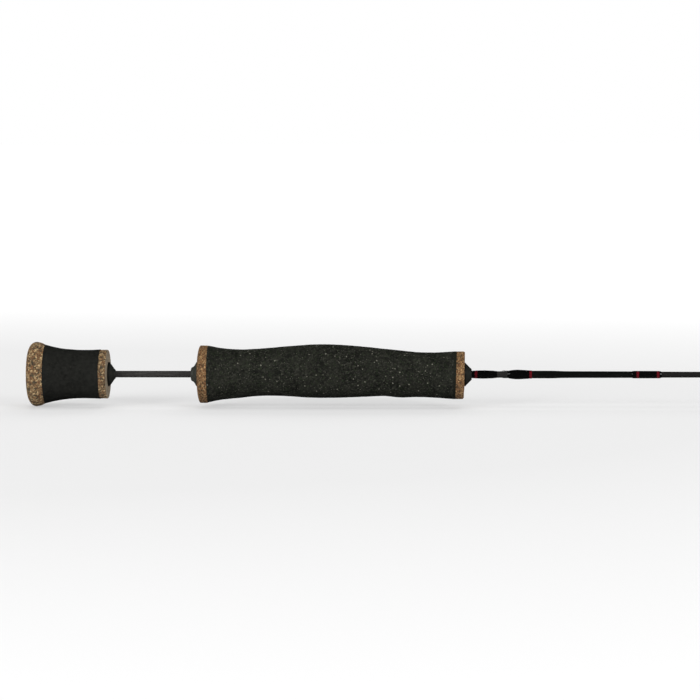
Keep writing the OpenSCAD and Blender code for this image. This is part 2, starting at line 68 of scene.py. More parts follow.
# Lengths inside the builders are in millimetres, and place() turns them into metres.
MM = 0.001
ROD, KEEPER = "rod", "keeper"
GUIDES = 5
ARBOR_R = 3.4
CHECK_SEAT_R = 6.1
KNOB_FLARE = 2.55        # the knob's rear end over its waist, as a radius
UNDER = 0.03             # how far thread and finish reach into the blank
CLEAR = 0.01             # gap between a bore and the blank

# Longest step along an outline of cork and of a winding check, and points around them
CORK_STEP, CHECK_STEP, CHECK_SIDES = 0.26, 0.12, 128


# ---- Places taken from the packed model ----

def reach(node):
    """Lowest and highest corner of a CAD node, in millimetres."""
    low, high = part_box(node)
    return low / MM, high / MM


def middle_of(node):
    """Middle of a CAD node along X and Y, in millimetres."""
    low, high = reach(node)
    return (low.x + high.x) / 2, (low.y + high.y) / 2


def start_of(node):
    """Rear end of a CAD node along the rod, in millimetres."""
    return reach(node)[0].x


def end_of(node):
    """Front end of a CAD node along the rod, in millimetres."""
    return reach(node)[1].x


# The blank's radius at four places, straight in between
BLANK_STATIONS = ((4.6, 1.66), (222.0, 1.66), (320.0, 1.49), (708.0, 0.5))


def blank_r(x):
    """Radius of the blank at x."""
    xs, rs = zip(*BLANK_STATIONS)
    return np.interp(x, xs, rs)


# ---- Sizes and colours ----

def length_property(name, description, default, low=0.0, high=1.0):
    """A length in metres."""
    return FloatProperty(
        name=name, description=description, default=default, min=low, max=high,
        unit="LENGTH", subtype="DISTANCE", precision=5,
    )


def colour_property(name, description, default):
    """A colour that can be picked."""
    return FloatVectorProperty(
        name=name, description=description, default=default, size=4, min=0, max=1, subtype="COLOR",
    )


class CorkSettings(bpy.types.PropertyGroup):
    """Burl cork of the knob and the grip's end rings"""
    knob_granule: length_property(
        "Knob Granule", "Size of the granules in the knob's cork", 0.00085, 0.0004, 0.004)
    ring_granule: length_property(
        "Ring Granule", "Size of the granules in the grip's end rings", 0.0006, 0.0003, 0.003)
    pit_depth: length_property(
        "Pit Depth", "Depth of the open pits between granules", 0.00022, 0.0, 0.001)
    light: colour_property("Light Granules", "Palest granules", (0.46, 0.325, 0.165, 1))
    middle: colour_property("Middle Granules", "Granules of the usual colour", (0.23, 0.135, 0.062, 1))
    warm: colour_property("Warm Granules", "Reddish granules", (0.15, 0.066, 0.027, 1))
    bark: colour_property("Bark", "Dark bark and binder", (0.028, 0.026, 0.018, 1))
    # Colour of the knob ring's front face: sanded cork with painted shade in it
    face: colour_property("Sanded Face", "Greyish face of the knob's front ring", (0.215, 0.180, 0.130, 1))


class GripSettings(bpy.types.PropertyGroup):
    """Foam of the knob and granulate of the foregrip"""
    knob_waist: length_property("Knob Waist", "Radius of the knob's waist", 0.01215, 0.011, 0.014)
    foam: colour_property("Knob Foam", "Dense foam of the knob", (0.0052, 0.0053, 0.0046, 1))
    granulate: colour_property("Granulate", "Main colour of the foregrip", (0.0058, 0.0062, 0.0050, 1))
    granulate_pale: colour_property("Pale Granulate", "Paler grains", (0.0255, 0.0258, 0.0205, 1))
    fleck: colour_property("Flecks", "Sparse light flecks", (0.12, 0.118, 0.095, 1))
    fleck_share: FloatProperty(
        name="Fleck Share", description="Share of the grains that are light flecks",
        default=0.045, min=0.0, max=0.5, subtype="FACTOR")


class BlankSettings(bpy.types.PropertyGroup):
    """Bare carbon blank and its black coated section"""
    tape_pitch: length_property("Tape Pitch", "Pitch of the spiral marks", 0.0021, 0.001, 0.01)
    tape_relief: length_property("Tape Relief", "Height of the spiral marks", 0.000012, 0.0, 0.0001)
    carbon: colour_property("Carbon", "Sanded carbon fibre", (0.0245, 0.0232, 0.0222, 1))
    coat: colour_property("Coated Section", "Black coat in front of the keeper", (0.0016, 0.0017, 0.0015, 1))


class ThreadSettings(bpy.types.PropertyGroup):
    """Thread wraps, trims and their finish"""
    pitch: length_property("Thread Pitch", "Distance from turn to turn", 0.00017, 0.0001, 0.001)
    ridge: length_property("Ridge", "Height of one turn over the next groove", 0.000006, 0.0, 0.0001)
    black: colour_property("Black Thread", "Black wraps", (0.0010, 0.0010, 0.0010, 1))
    red: colour_property("Red Thread", "Metallic red trims", (0.105, 0.0042, 0.0085, 1))


class MetalSettings(bpy.types.PropertyGroup):
    """Winding checks, guide frames, rings and keeper"""
    check: colour_property("Winding Check", "Matte dark checks", (0.0082, 0.0088, 0.0072, 1))
    steel: colour_property("Steel", "Guide frames and keeper", (0.62, 0.62, 0.63, 1))
    ceramic: colour_property("Ring Insert", "Polished ring inserts", (0.055, 0.058, 0.064, 1))
    arbor: colour_property("Arbor", "Filler under the grips", (0.20, 0.20, 0.18, 1))


class StageSettings(bpy.types.PropertyGroup):
    """Floor, light and camera"""
    floor: colour_property("Floor", "Plain pale floor", (0.35, 0.35, 0.35, 1))
    floor_radius: length_property("Floor Radius", "Radius of the floor", 12.0, 2.0, 30.0)
    sky: FloatProperty(name="Sky", description="Strength of the even light", default=0.30, min=0, max=5)
    key: FloatProperty(name="Key", description="Power of the two softboxes", default=24.0, min=0, max=500)
    top: FloatProperty(name="Top", description="Power of the light above", default=9.0, min=0, max=500)
    distance: length_property("Camera Distance", "Camera to the rod's axis", 1.5, 0.5, 5.0)
    elevation: FloatProperty(
        name="Camera Elevation", description="Height of the camera over the horizon",
        default=math.radians(5.0), subtype="ANGLE")
    foot: length_property("Camera Foot", "Place along the rod that the camera stands at", 0.220, -1, 1)
    aim: length_property("Aim", "Place along the rod that the camera looks at", 0.16123, -1, 1)
    aim_height: length_property("Aim Height", "Height that the camera looks at", 0.0122, -1, 1)
    view_width: length_property("View Width", "Width of the view at the rod", 0.34956, 0.1, 2.0)
    roll: FloatProperty(
        name="Camera Roll", description="Turn of the camera about its own line of sight",
        default=-0.0024, subtype="ANGLE")
    seed: IntProperty(name="Seed", description="Seed of the end cork's granules", default=4, min=0, max=99)


SETTINGS = {
    "rod_cork": CorkSettings,
    "rod_grip": GripSettings,
    "rod_blank": BlankSettings,
    "rod_thread": ThreadSettings,
    "rod_metal": MetalSettings,
    "rod_stage": StageSettings,
}


# ---- Outlines ----

def smooth(stations, x, column=1):
    """Smooth curve through stations [x, value, ...], at the places x."""
    table = np.array(stations, float)
    xs, ys = table[:, 0], table[:, column]
    slopes = np.empty(len(xs))
    slopes[1:-1] = (ys[2:] - ys[:-2]) / (xs[2:] - xs[:-2])
    slopes[0] = (ys[1] - ys[0]) / (xs[1] - xs[0])
    slopes[-1] = (ys[-1] - ys[-2]) / (xs[-1] - xs[-2])
    x = np.asarray(x, float)
    i = np.clip(np.searchsorted(xs, x, side="right") - 1, 0, len(xs) - 2)
    h = xs[i + 1] - xs[i]
    t = np.clip((x - xs[i]) / h, 0, 1)
    u = 1 - t
    ends = ys[i] * u * u * (1 + 2 * t) + ys[i + 1] * t * t * (1 + 2 * u)
    return ends + h * t * u * (slopes[i] * u - slopes[i + 1] * t)


def curve(stations, start, steps):
    """Points [x, r] of a smooth curve through stations whose places count from start."""
    x = np.linspace(stations[0][0], stations[-1][0], steps + 1)
    return [[start + a, r] for a, r in zip(x, smooth(stations, x))]


def quarter(x, r, size_x, size_r, a, b, steps):
    """Points [x, r] of an elliptical corner about (x, r), from angle a to b, where 90 points outwards."""
    turns = np.radians(np.linspace(a, b, steps + 1))
    return [[x + size_x * math.cos(q), r + size_r * math.sin(q)] for q in turns]


def finer(outline, step):
    """The same outline with no piece of it longer than step."""
    points = [np.array(outline[0], float)]
    for a, b in zip(outline[:-1], outline[1:]):
        a, b = np.array(a, float), np.array(b, float)
        parts = max(1, math.ceil(np.linalg.norm(b - a) / step))
        points += [a + (b - a) * k / parts for k in range(1, parts + 1)]
    kept = [points[0]]
    for p in points[1:]:
        if np.linalg.norm(p - kept[-1]) > 1e-4:
            kept.append(p)
    return np.array(kept)


def fade(value, low, high):
    """0 below low, 1 above high and smooth in between."""
    t = np.clip((value - low) / (high - low), 0, 1)
    return t * t * (3 - 2 * t)


# ---- Meshes ----

def surface(name, rows, joined=True, values=None):
    """Closed mesh from rows of points around the rod. Joined rows run round in a loop and may carry
    values, one number per point by name. Others are closed by a cap at each end."""
    count, sides = rows.shape[:2]
    points = rows.reshape(-1, 3)
    index = np.arange(count * sides).reshape(count, sides)
    following = np.roll(index, -1, axis=0) if joined else index[1:]
    here = index if joined else index[:-1]
    quads = np.stack([
        here, following, np.roll(following, -1, axis=1), np.roll(here, -1, axis=1)
    ], axis=-1).reshape(-1, 4)
    faces = quads.tolist()
    if not joined:
        first, last = len(points), len(points) + 1
        points = np.vstack([points, rows[0].mean(0), rows[-1].mean(0)])
        for k in range(sides):
            after = (k + 1) % sides
            faces.append([int(index[0, k]), int(index[0, after]), first])
            faces.append([int(index[-1, after]), int(index[-1, k]), last])
    mesh = bpy.data.meshes.new(name)
    mesh.from_pydata(points.tolist(), [], faces)
    for key, v in (values or {}).items():
        attribute = mesh.attributes.new(key, "FLOAT", "POINT")
        attribute.data.foreach_set("value", np.ravel(v).astype(np.float32))
    return mesh


def all_round(values, sides):
    """One value per row of an outline, repeated all the way round."""
    return np.repeat(values[:, None], sides, 1)


def turned_rows(outline, sides, rise=0.0):
    """Rows of points and of outward normals for an outline turned about the rod."""
    x, r = outline[:, 0], outline[:, 1]
    around = np.linspace(0, 2 * math.pi, sides, endpoint=False)
    sin, cos = np.sin(around), np.cos(around)
    rise = np.broadcast_to(rise, x.shape)
    rows = np.stack([
        all_round(x, sides),
        r[:, None] * sin,
        r[:, None] * cos + rise[:, None],
    ], axis=-1)
    along = np.roll(outline, -1, axis=0) - np.roll(outline, 1, axis=0)
    out = np.stack([-along[:, 1], along[:, 0]], axis=-1)
    out /= np.maximum(np.linalg.norm(out, axis=1, keepdims=True), 1e-9)
    normals = np.stack([
        np.repeat(out[:, :1], sides, 1), out[:, 1:] * sin, out[:, 1:] * cos
    ], axis=-1)
    return rows, normals


def turned_across(outline, sides, x, y):
    """Rows of points for an outline turned about a line across the rod, through (x, y)."""
    rows = turned_rows(outline, sides)[0][..., [1, 2, 0]]
    rows[..., 0] += x
    rows[..., 1] += y
    return rows


def ring_loop(outer, inner):
    """Closed outline from an outer side, rear to front, and the inner side below it."""
    return np.vstack([outer, np.array(inner, float)])


def place(name, mesh, finish, stands_for, sharp=40, body=ROD):
    """Puts a finished mesh in the scene in metres with its finish, ties it to its body and hides the CAD
    nodes it stands for.
    """
    mesh.transform(Matrix.Scale(MM, 4))
    for face in mesh.polygons:
        face.use_smooth = True
    mesh.set_sharp_from_angle(angle=math.radians(sharp))
    mesh.update()
    piece = bpy.data.objects.new(name, mesh)
    bpy.context.scene.collection.objects.link(piece)
    mesh.materials.append(finish)
    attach(piece, body)
    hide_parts(*stands_for)


def joined_mesh(name, meshes):
    """One mesh that holds several."""
    points, faces, offset = [], [], 0
    for m in meshes:
        count = len(m.vertices)
        co = np.empty(count * 3)
        m.vertices.foreach_get("co", co)
        points.append(co.reshape(-1, 3))
        faces += [[v + offset for v in f.vertices] for f in m.polygons]
        offset += count
    made = bpy.data.meshes.new(name)
    made.from_pydata(np.vstack(points).tolist(), [], faces)
    for m in meshes:
        bpy.data.meshes.remove(m)
    return made


def welded(name, meshes, grain):
    """One skin round several overlapping shells, with small fillets where they meet."""
    both = joined_mesh(name + "_shells", meshes)
    block = bpy.data.objects.new(name + "_block", both)
    bpy.context.scene.collection.objects.link(block)
    remesh = block.modifiers.new("Weld", "REMESH")
    remesh.mode = "VOXEL"
    remesh.voxel_size = grain
    remesh.adaptivity = 0.0
    soften = block.modifiers.new("Round", "SMOOTH")
    soften.iterations = 2
    soften.factor = 0.5
    bpy.context.view_layer.update()
    shown = block.evaluated_get(bpy.context.evaluated_depsgraph_get())
    made = bpy.data.meshes.new_from_object(shown)
    made.name = name
    bpy.data.objects.remove(block)
    bpy.data.meshes.remove(both)
    return made


def wire(name, path, radius, sides=16):
    """Round wire along a path of points. Radius is one number or one per point."""
    path = np.array(path, float)
    radius = np.broadcast_to(radius, len(path))
    tangents = np.gradient(path, axis=0)
    tangents /= np.linalg.norm(tangents, axis=1, keepdims=True)
    side = Vector((0, 0, 1)) if abs(tangents[0][2]) < 0.9 else Vector((0, 1, 0))
    rows = []
    for p, t, r in zip(path, tangents, radius):
        t = Vector(t)
        side = (side - side.dot(t) * t).normalized()
        up = t.cross(side)
        rows.append([
            list(Vector(p) + (math.cos(q) * side + math.sin(q) * up) * float(r))
            for q in np.linspace(0, 2 * math.pi, sides, endpoint=False)
        ])
    return surface(name, np.array(rows), joined=False)


def bend(points, steps):
    """Smooth path through a few points."""
    points = np.array(points, float)
    at = np.concatenate([[0], np.cumsum(np.linalg.norm(np.diff(points, axis=0), axis=1))])
    where = np.linspace(0, at[-1], steps)
    return np.stack([
        smooth(np.stack([at, points[:, k]], axis=1), where) for k in range(3)
    ], axis=1)


# ---- Surface relief ----

def granules(points, size, seed):
    """For each point, the distance to its granule's border in millimetres and the granule's number."""
    shift = Vector((seed * 17.3, seed * 5.1, seed * 9.7))
    gap, own = np.empty(len(points)), np.empty(len(points))
    for i, p in enumerate(points):
        far, where = noise.voronoi(Vector(p) / size + shift)
        gap[i] = (far[1] - far[0]) * size / 2
        own[i] = noise.cell(where[0] * 31.7)
    return gap, np.abs(own) % 1.0


def waves(points, size, seed):
    """Soft unevenness from -1 to 1 with lumps of about that size."""
    shift = Vector((seed * 3.1, seed * 11.9, seed * 7.7))
    return np.array([noise.fractal(Vector(p) / size + shift, 0.6, 2.1, 3) for p in points])


def unevenness(points, *layers):
    """Sum of waves. Each layer is a height, a size and a seed."""
    return sum(height * waves(points, size, seed) for height, size, seed in layers)


CREASE_SHARE, RIPPLE_SHARE, RIPPLE_SIZE = 0.22, 0.10, 3.0
LOST_GRANULES = 0.8              # granules numbered over this have fallen out
OPEN_SEAMS = (0.55, 0.62)        # granules numbered between these have open borders


def cork_relief(rows, normals, skin, size, depth, seed):
    """Sanded cork: fine creases round the granules and open pits beside the bark.
    Gives the rows and a pit value for each point, which the finish darkens as painted shade."""
    skin = skin.ravel()
    where = skin > 0
    points = rows.reshape(-1, 3)
    gap, own = granules(points[where], size, seed)
    crease = CREASE_SHARE * (1 - fade(gap, 0.0, 0.16))
    lost = (own > LOST_GRANULES) * fade(gap, 0.02, 0.28) * 0.85
    seams = (own > OPEN_SEAMS[0]) * (own < OPEN_SEAMS[1]) * (1 - fade(gap, 0.05, 0.3))
    ripple = RIPPLE_SHARE * waves(points[where], RIPPLE_SIZE, seed)
    hollow = np.clip(lost + seams + crease, 0, 1)
    pits = np.zeros(len(points))
    pits[where] = hollow * skin[where]
    drop = np.zeros(len(points))
    drop[where] = depth * (hollow - ripple) * skin[where]
    moved = points - normals.reshape(-1, 3) * np.maximum(drop, 0)[:, None]
    return moved.reshape(rows.shape), pits


# ---- Node groups ----

def set_inputs(node, values):
    """Sets a node's inputs by name, in small letters with _ for a space."""
    named = {s.name.lower().replace(" ", "_"): s for s in reversed(node.inputs)}
    for key, value in values.items():
        named[key].default_value = value


def group(name, inputs, outputs):
    """New shader node group with named sockets, and its input and output nodes."""
    kinds = {"v": "NodeSocketVector", "f": "NodeSocketFloat", "c": "NodeSocketColor"}
    tree = bpy.data.node_groups.new(name, "ShaderNodeTree")
    for label, kind, default in inputs:
        socket = tree.interface.new_socket(name=label, in_out="INPUT", socket_type=kinds[kind])
        if default is not None:
            socket.default_value = default
    for label, kind in outputs:
        tree.interface.new_socket(name=label, in_out="OUTPUT", socket_type=kinds[kind])
    return tree, tree.nodes.new("NodeGroupInput"), tree.nodes.new("NodeGroupOutput")


def put(tree, value, socket):
    """Links an output socket to an input, or sets a plain value on it."""
    if isinstance(value, bpy.types.NodeSocket):
        tree.links.new(value, socket)
    else:
        socket.default_value = value


def maths(tree, operation, *values):
    """Math node. Each value is a number or an output socket."""
    node = tree.nodes.new("ShaderNodeMath")
    node.operation = operation
    for value, socket in zip(values, node.inputs):
        put(tree, value, socket)
    return node.outputs[0]


def vector_maths(tree, operation, vector):
    """Vector Math node with its first vector linked."""
    node = tree.nodes.new("ShaderNodeVectorMath")
    node.operation = operation
    tree.links.new(vector, node.inputs[0])
    return node


def scaled(tree, vector, factor):
    """Vector times a number or an output socket."""
    node = vector_maths(tree, "SCALE", vector)
    put(tree, factor, node.inputs["Scale"])
    return node.outputs[0]


def shifted_by(tree, vector, by):
    """Sum of two vectors."""
    node = vector_maths(tree, "ADD", vector)
    put(tree, by, node.inputs[1])
    return node.outputs[0]


def drawn_out(tree, vector, share):
    """Vector whose X is shortened to a share, so that a texture runs lengthways."""
    node = vector_maths(tree, "MULTIPLY", vector)
    node.inputs[1].default_value = (share, 1, 1)
    return node.outputs[0]


def xyz_of(tree, vector):
    """The three parts of a vector, by name."""
    node = tree.nodes.new("ShaderNodeSeparateXYZ")
    tree.links.new(vector, node.inputs[0])
    return node.outputs


def channels(tree, colour):
    """The three channels of a colour."""
    node = tree.nodes.new("ShaderNodeSeparateColor")
    tree.links.new(colour, node.inputs[0])
    return node.outputs


def ramp(tree, value, low, high):
    """Smooth step of a value from low to high."""
    node = tree.nodes.new("ShaderNodeMapRange")
    node.interpolation_type = "SMOOTHSTEP"
    set_inputs(node, {"from_min": low, "from_max": high})
    tree.links.new(value, node.inputs["Value"])
    return node.outputs["Result"]


def blended(tree, share, a, b, mode="MIX"):
    """Mix of two colours. The share and the colours are values or output sockets."""
    node = tree.nodes.new("ShaderNodeMix")
    node.data_type = "RGBA"
    node.blend_type = mode
    for label, value in (("Factor", share), ("A", a), ("B", b)):
        put(tree, value, next(s for s in node.inputs if s.name == label and s.enabled))
    return next(s for s in node.outputs if s.enabled)


def noise_at(tree, vector, scale, detail=2.0, roughness=0.5):
    """Noise texture at a vector. Gives the node, with outputs Fac and Color."""
    node = tree.nodes.new("ShaderNodeTexNoise")
    node.inputs["Detail"].default_value = detail
    node.inputs["Roughness"].default_value = roughness
    tree.links.new(vector, node.inputs["Vector"])
    put(tree, scale, node.inputs["Scale"])
    return node


def cells_at(tree, vector, scale, feature="F1"):
    """Voronoi texture at a vector."""
    node = tree.nodes.new("ShaderNodeTexVoronoi")
    node.feature = feature
    tree.links.new(vector, node.inputs["Vector"])
    put(tree, scale, node.inputs["Scale"])
    return node


def wobbled(tree, vector, scale, reach_by):
    """Vector pushed about by noise of a scale."""
    push = shifted_by(tree, noise_at(tree, vector, scale).outputs["Color"], (-0.5, -0.5, -0.5))
    return shifted_by(tree, vector, scaled(tree, push, reach_by))


def turns_of(tree, xyz, pitch):
    """Count of turns of a spiral of that pitch round the rod, at each place."""
    turn = maths(tree, "DIVIDE", maths(tree, "ARCTAN2", xyz["Y"], xyz["Z"]), 2 * math.pi)
    return maths(tree, "ADD", maths(tree, "DIVIDE", xyz["X"], pitch), turn)


def build_cork_granules():
    """Granules of cork in four colours, with darker borders."""
    tree, given, out = group(
        "Cork Granules",
        [("Vector", "v", None), ("Granule Size", "f", 0.001), ("Bark Share", "f", 0.16), ("Shift", "f", 0.0),
         ("Light", "c", (0.5, 0.4, 0.2, 1)), ("Middle", "c", (0.3, 0.2, 0.1, 1)),
         ("Warm", "c", (0.2, 0.1, 0.05, 1)), ("Bark", "c", (0.03, 0.03, 0.02, 1))],
        [("Colour", "c"), ("Height", "f"), ("Border", "f")],
    )
    per_metre = maths(tree, "DIVIDE", 1.0, given.outputs["Granule Size"])
    shifted = shifted_by(tree, given.outputs["Vector"], given.outputs["Shift"])
    bent = wobbled(tree, shifted, maths(tree, "MULTIPLY", per_metre, 0.9),
                   maths(tree, "MULTIPLY", given.outputs["Granule Size"], 1.1))
    cells = cells_at(tree, bent, per_metre)
    border = cells_at(tree, bent, per_metre, "DISTANCE_TO_EDGE")
    small = cells_at(tree, bent, maths(tree, "MULTIPLY", per_metre, 2.3))
    red, green, blue = channels(tree, cells.outputs["Color"])[:3]
    colour = blended(tree, ramp(tree, red, 0.36, 0.44), given.outputs["Light"], given.outputs["Middle"])
    colour = blended(tree, ramp(tree, green, 0.70, 0.74), colour, given.outputs["Warm"])
    own = channels(tree, small.outputs["Color"])
    crumb = ramp(tree, own[0], 0.55, 0.9)
    colour = blended(tree, maths(tree, "MULTIPLY", crumb, 0.55), colour, given.outputs["Middle"])
    bark = maths(tree, "GREATER_THAN", maths(tree, "ADD", blue, given.outputs["Bark Share"]), 1.0)
    specks = maths(tree, "GREATER_THAN", maths(tree, "ADD", own[1], given.outputs["Bark Share"]), 1.03)
    bark = maths(tree, "MAXIMUM", bark, specks)
    colour = blended(tree, maths(tree, "MULTIPLY", bark, 0.86), colour, given.outputs["Bark"])
    line = maths(tree, "SUBTRACT", 1.0, ramp(tree, border.outputs["Distance"], 0.0, 0.11))
    colour = blended(tree, maths(tree, "MULTIPLY", line, 0.55), colour, given.outputs["Bark"])
    grain = noise_at(tree, shifted, maths(tree, "MULTIPLY", per_metre, 6.0), 3.0, 0.6).outputs["Fac"]
    grey = tree.nodes.new("ShaderNodeCombineColor")
    shade = maths(tree, "MULTIPLY_ADD", grain, 0.7, 0.65)
    for socket in grey.inputs[:3]:
        tree.links.new(shade, socket)
    colour = blended(tree, 1.0, colour, grey.outputs[0], "MULTIPLY")
    height = maths(tree, "MULTIPLY", grain, 0.35)
    for low_part, depth in ((line, 0.5), (bark, 0.35)):
        height = maths(tree, "SUBTRACT", height, maths(tree, "MULTIPLY", low_part, depth))
    tree.links.new(colour, out.inputs["Colour"])
    tree.links.new(height, out.inputs["Height"])
    tree.links.new(line, out.inputs["Border"])
    return tree


def build_grain():
    """Fine closed grain: a height and a shade that vary over the surface."""
    tree, given, out = group(
        "Fine Grain",
        [("Vector", "v", None), ("Grain Size", "f", 0.0004), ("Mottle Size", "f", 0.004)],
        [("Height", "f"), ("Shade", "f"), ("Mottle", "f")],
    )
    fine = maths(tree, "DIVIDE", 1.0, given.outputs["Grain Size"])
    wide = maths(tree, "DIVIDE", 1.0, given.outputs["Mottle Size"])
    grain = noise_at(tree, given.outputs["Vector"], fine, 3.0, 0.62).outputs["Fac"]
    pores = cells_at(tree, given.outputs["Vector"], fine).outputs["Distance"]
    mottle = noise_at(tree, given.outputs["Vector"], wide, 3.0, 0.6).outputs["Fac"]
    height = maths(tree, "MULTIPLY_ADD", pores, 0.5, grain)
    tree.links.new(height, out.inputs["Height"])
    tree.links.new(ramp(tree, grain, 0.3, 0.7), out.inputs["Shade"])
    tree.links.new(ramp(tree, mottle, 0.32, 0.68), out.inputs["Mottle"])
    return tree


def build_flecks():
    """Sparse small flecks: a mask."""
    tree, given, out = group(
        "Flecks",
        [("Vector", "v", None), ("Spacing", "f", 0.001), ("Share", "f", 0.05), ("Reach", "f", 0.35)],
        [("Mask", "f")],
    )
    per_metre = maths(tree, "DIVIDE", 1.0, given.outputs["Spacing"])
    cells = cells_at(tree, given.outputs["Vector"], per_metre)
    chosen = maths(tree, "LESS_THAN", channels(tree, cells.outputs["Color"])[0], given.outputs["Share"])
    near = maths(tree, "SUBTRACT", given.outputs["Reach"], cells.outputs["Distance"])
    near = ramp(tree, near, 0.0, 0.12)
    tree.links.new(maths(tree, "MULTIPLY", chosen, near), out.inputs["Mask"])
    return tree


def build_thread_lay():
    """Turns of thread round the rod: a height, and a shade that differs from turn to turn."""
    tree, given, out = group(
        "Thread Lay",
        [("Vector", "v", None), ("Pitch", "f", 0.00017)],
        [("Height", "f"), ("Shade", "f")],
    )
    phase = turns_of(tree, xyz_of(tree, given.outputs["Vector"]), given.outputs["Pitch"])
    part = maths(tree, "FRACT", phase)
    hump = maths(tree, "SINE", maths(tree, "MULTIPLY", part, math.pi))
    number = tree.nodes.new("ShaderNodeTexWhiteNoise")
    number.noise_dimensions = "1D"
    tree.links.new(maths(tree, "FLOOR", phase), number.inputs["W"])
    lint = noise_at(tree, given.outputs["Vector"], 2500.0).outputs["Fac"]
    shade = maths(tree, "MULTIPLY_ADD", number.outputs["Value"], 0.4, maths(tree, "MULTIPLY", lint, 0.6))
    tree.links.new(hump, out.inputs["Height"])
    tree.links.new(shade, out.inputs["Shade"])
    return tree


def build_tool_marks():
    """Fine lines left by turning: a height and a shade that are the same all the way round."""
    tree, given, out = group(
        "Tool Marks",
        [("Vector", "v", None), ("Line Size", "f", 0.0001)],
        [("Height", "f"), ("Shade", "f")],
    )
    xyz = xyz_of(tree, given.outputs["Vector"])
    y2 = maths(tree, "MULTIPLY", xyz["Y"], xyz["Y"])
    radius = maths(tree, "SQRT", maths(tree, "MULTIPLY_ADD", xyz["Z"], xyz["Z"], y2))
    flat = tree.nodes.new("ShaderNodeCombineXYZ")
    tree.links.new(xyz["X"], flat.inputs[0])
    tree.links.new(radius, flat.inputs[1])
    per_metre = maths(tree, "DIVIDE", 1.0, given.outputs["Line Size"])
    lines = noise_at(tree, flat.outputs[0], per_metre).outputs["Fac"]
    cloud = noise_at(tree, given.outputs["Vector"], 900.0, 3.0).outputs["Fac"]
    tree.links.new(lines, out.inputs["Height"])
    tree.links.new(maths(tree, "MULTIPLY_ADD", lines, 0.5, maths(tree, "MULTIPLY", cloud, 0.5)),
                   out.inputs["Shade"])
    return tree


def build_fibre():
    """Carbon fibre streaks along the rod with the marks of the tape wound round it."""
    tree, given, out = group(
        "Carbon Fibre",
        [("Vector", "v", None), ("Tape Pitch", "f", 0.002), ("Streak Size", "f", 0.00018)],
        [("Height", "f"), ("Shade", "f"), ("Tape", "f")],
    )
    lengthways = drawn_out(tree, given.outputs["Vector"], 0.035)
    per_metre = maths(tree, "DIVIDE", 1.0, given.outputs["Streak Size"])
    streaks = noise_at(tree, lengthways, per_metre, 3.0, 0.6).outputs["Fac"]
    phase = turns_of(tree, xyz_of(tree, given.outputs["Vector"]), given.outputs["Tape Pitch"])
    part = maths(tree, "FRACT", phase)
    edge = maths(tree, "ABSOLUTE", maths(tree, "SUBTRACT", part, 0.5))
    tape = ramp(tree, edge, 0.40, 0.5)
    relief = maths(tree, "MULTIPLY", streaks, 0.4)
    height = maths(tree, "SUBTRACT", relief, maths(tree, "MULTIPLY", tape, 0.6))
    tree.links.new(height, out.inputs["Height"])
    tree.links.new(ramp(tree, streaks, 0.3, 0.7), out.inputs["Shade"])
    tree.links.new(tape, out.inputs["Tape"])
    return tree


def build_handling():
    """Smudges and rub marks from use, from 0 to 1."""
    tree, given, out = group(
        "Handling Marks",
        [("Vector", "v", None), ("Mark Size", "f", 0.006)],
        [("Smudge", "f"), ("Rub", "f")],
    )
    per_metre = maths(tree, "DIVIDE", 1.0, given.outputs["Mark Size"])
    cloud = noise_at(tree, given.outputs["Vector"], per_metre, 4.0, 0.62).outputs["Fac"]
    lengthways = drawn_out(tree, given.outputs["Vector"], 0.2)
    rub = noise_at(tree, lengthways, maths(tree, "MULTIPLY", per_metre, 9.0), 2.0, 0.7).outputs["Fac"]
    tree.links.new(ramp(tree, cloud, 0.38, 0.66), out.inputs["Smudge"])
    tree.links.new(ramp(tree, rub, 0.56, 0.76), out.inputs["Rub"])
    return tree


GROUPS = {
    "Cork Granules": build_cork_granules,
    "Fine Grain": build_grain,
    "Flecks": build_flecks,
    "Thread Lay": build_thread_lay,
    "Tool Marks": build_tool_marks,
    "Carbon Fibre": build_fibre,
    "Handling Marks": build_handling,
}


# ---- Finishes ----

def toned(colour, factor):
    """A colour made paler or darker by a factor."""
    return tuple(min(1, factor * c) for c in colour[:3]) + (1,)


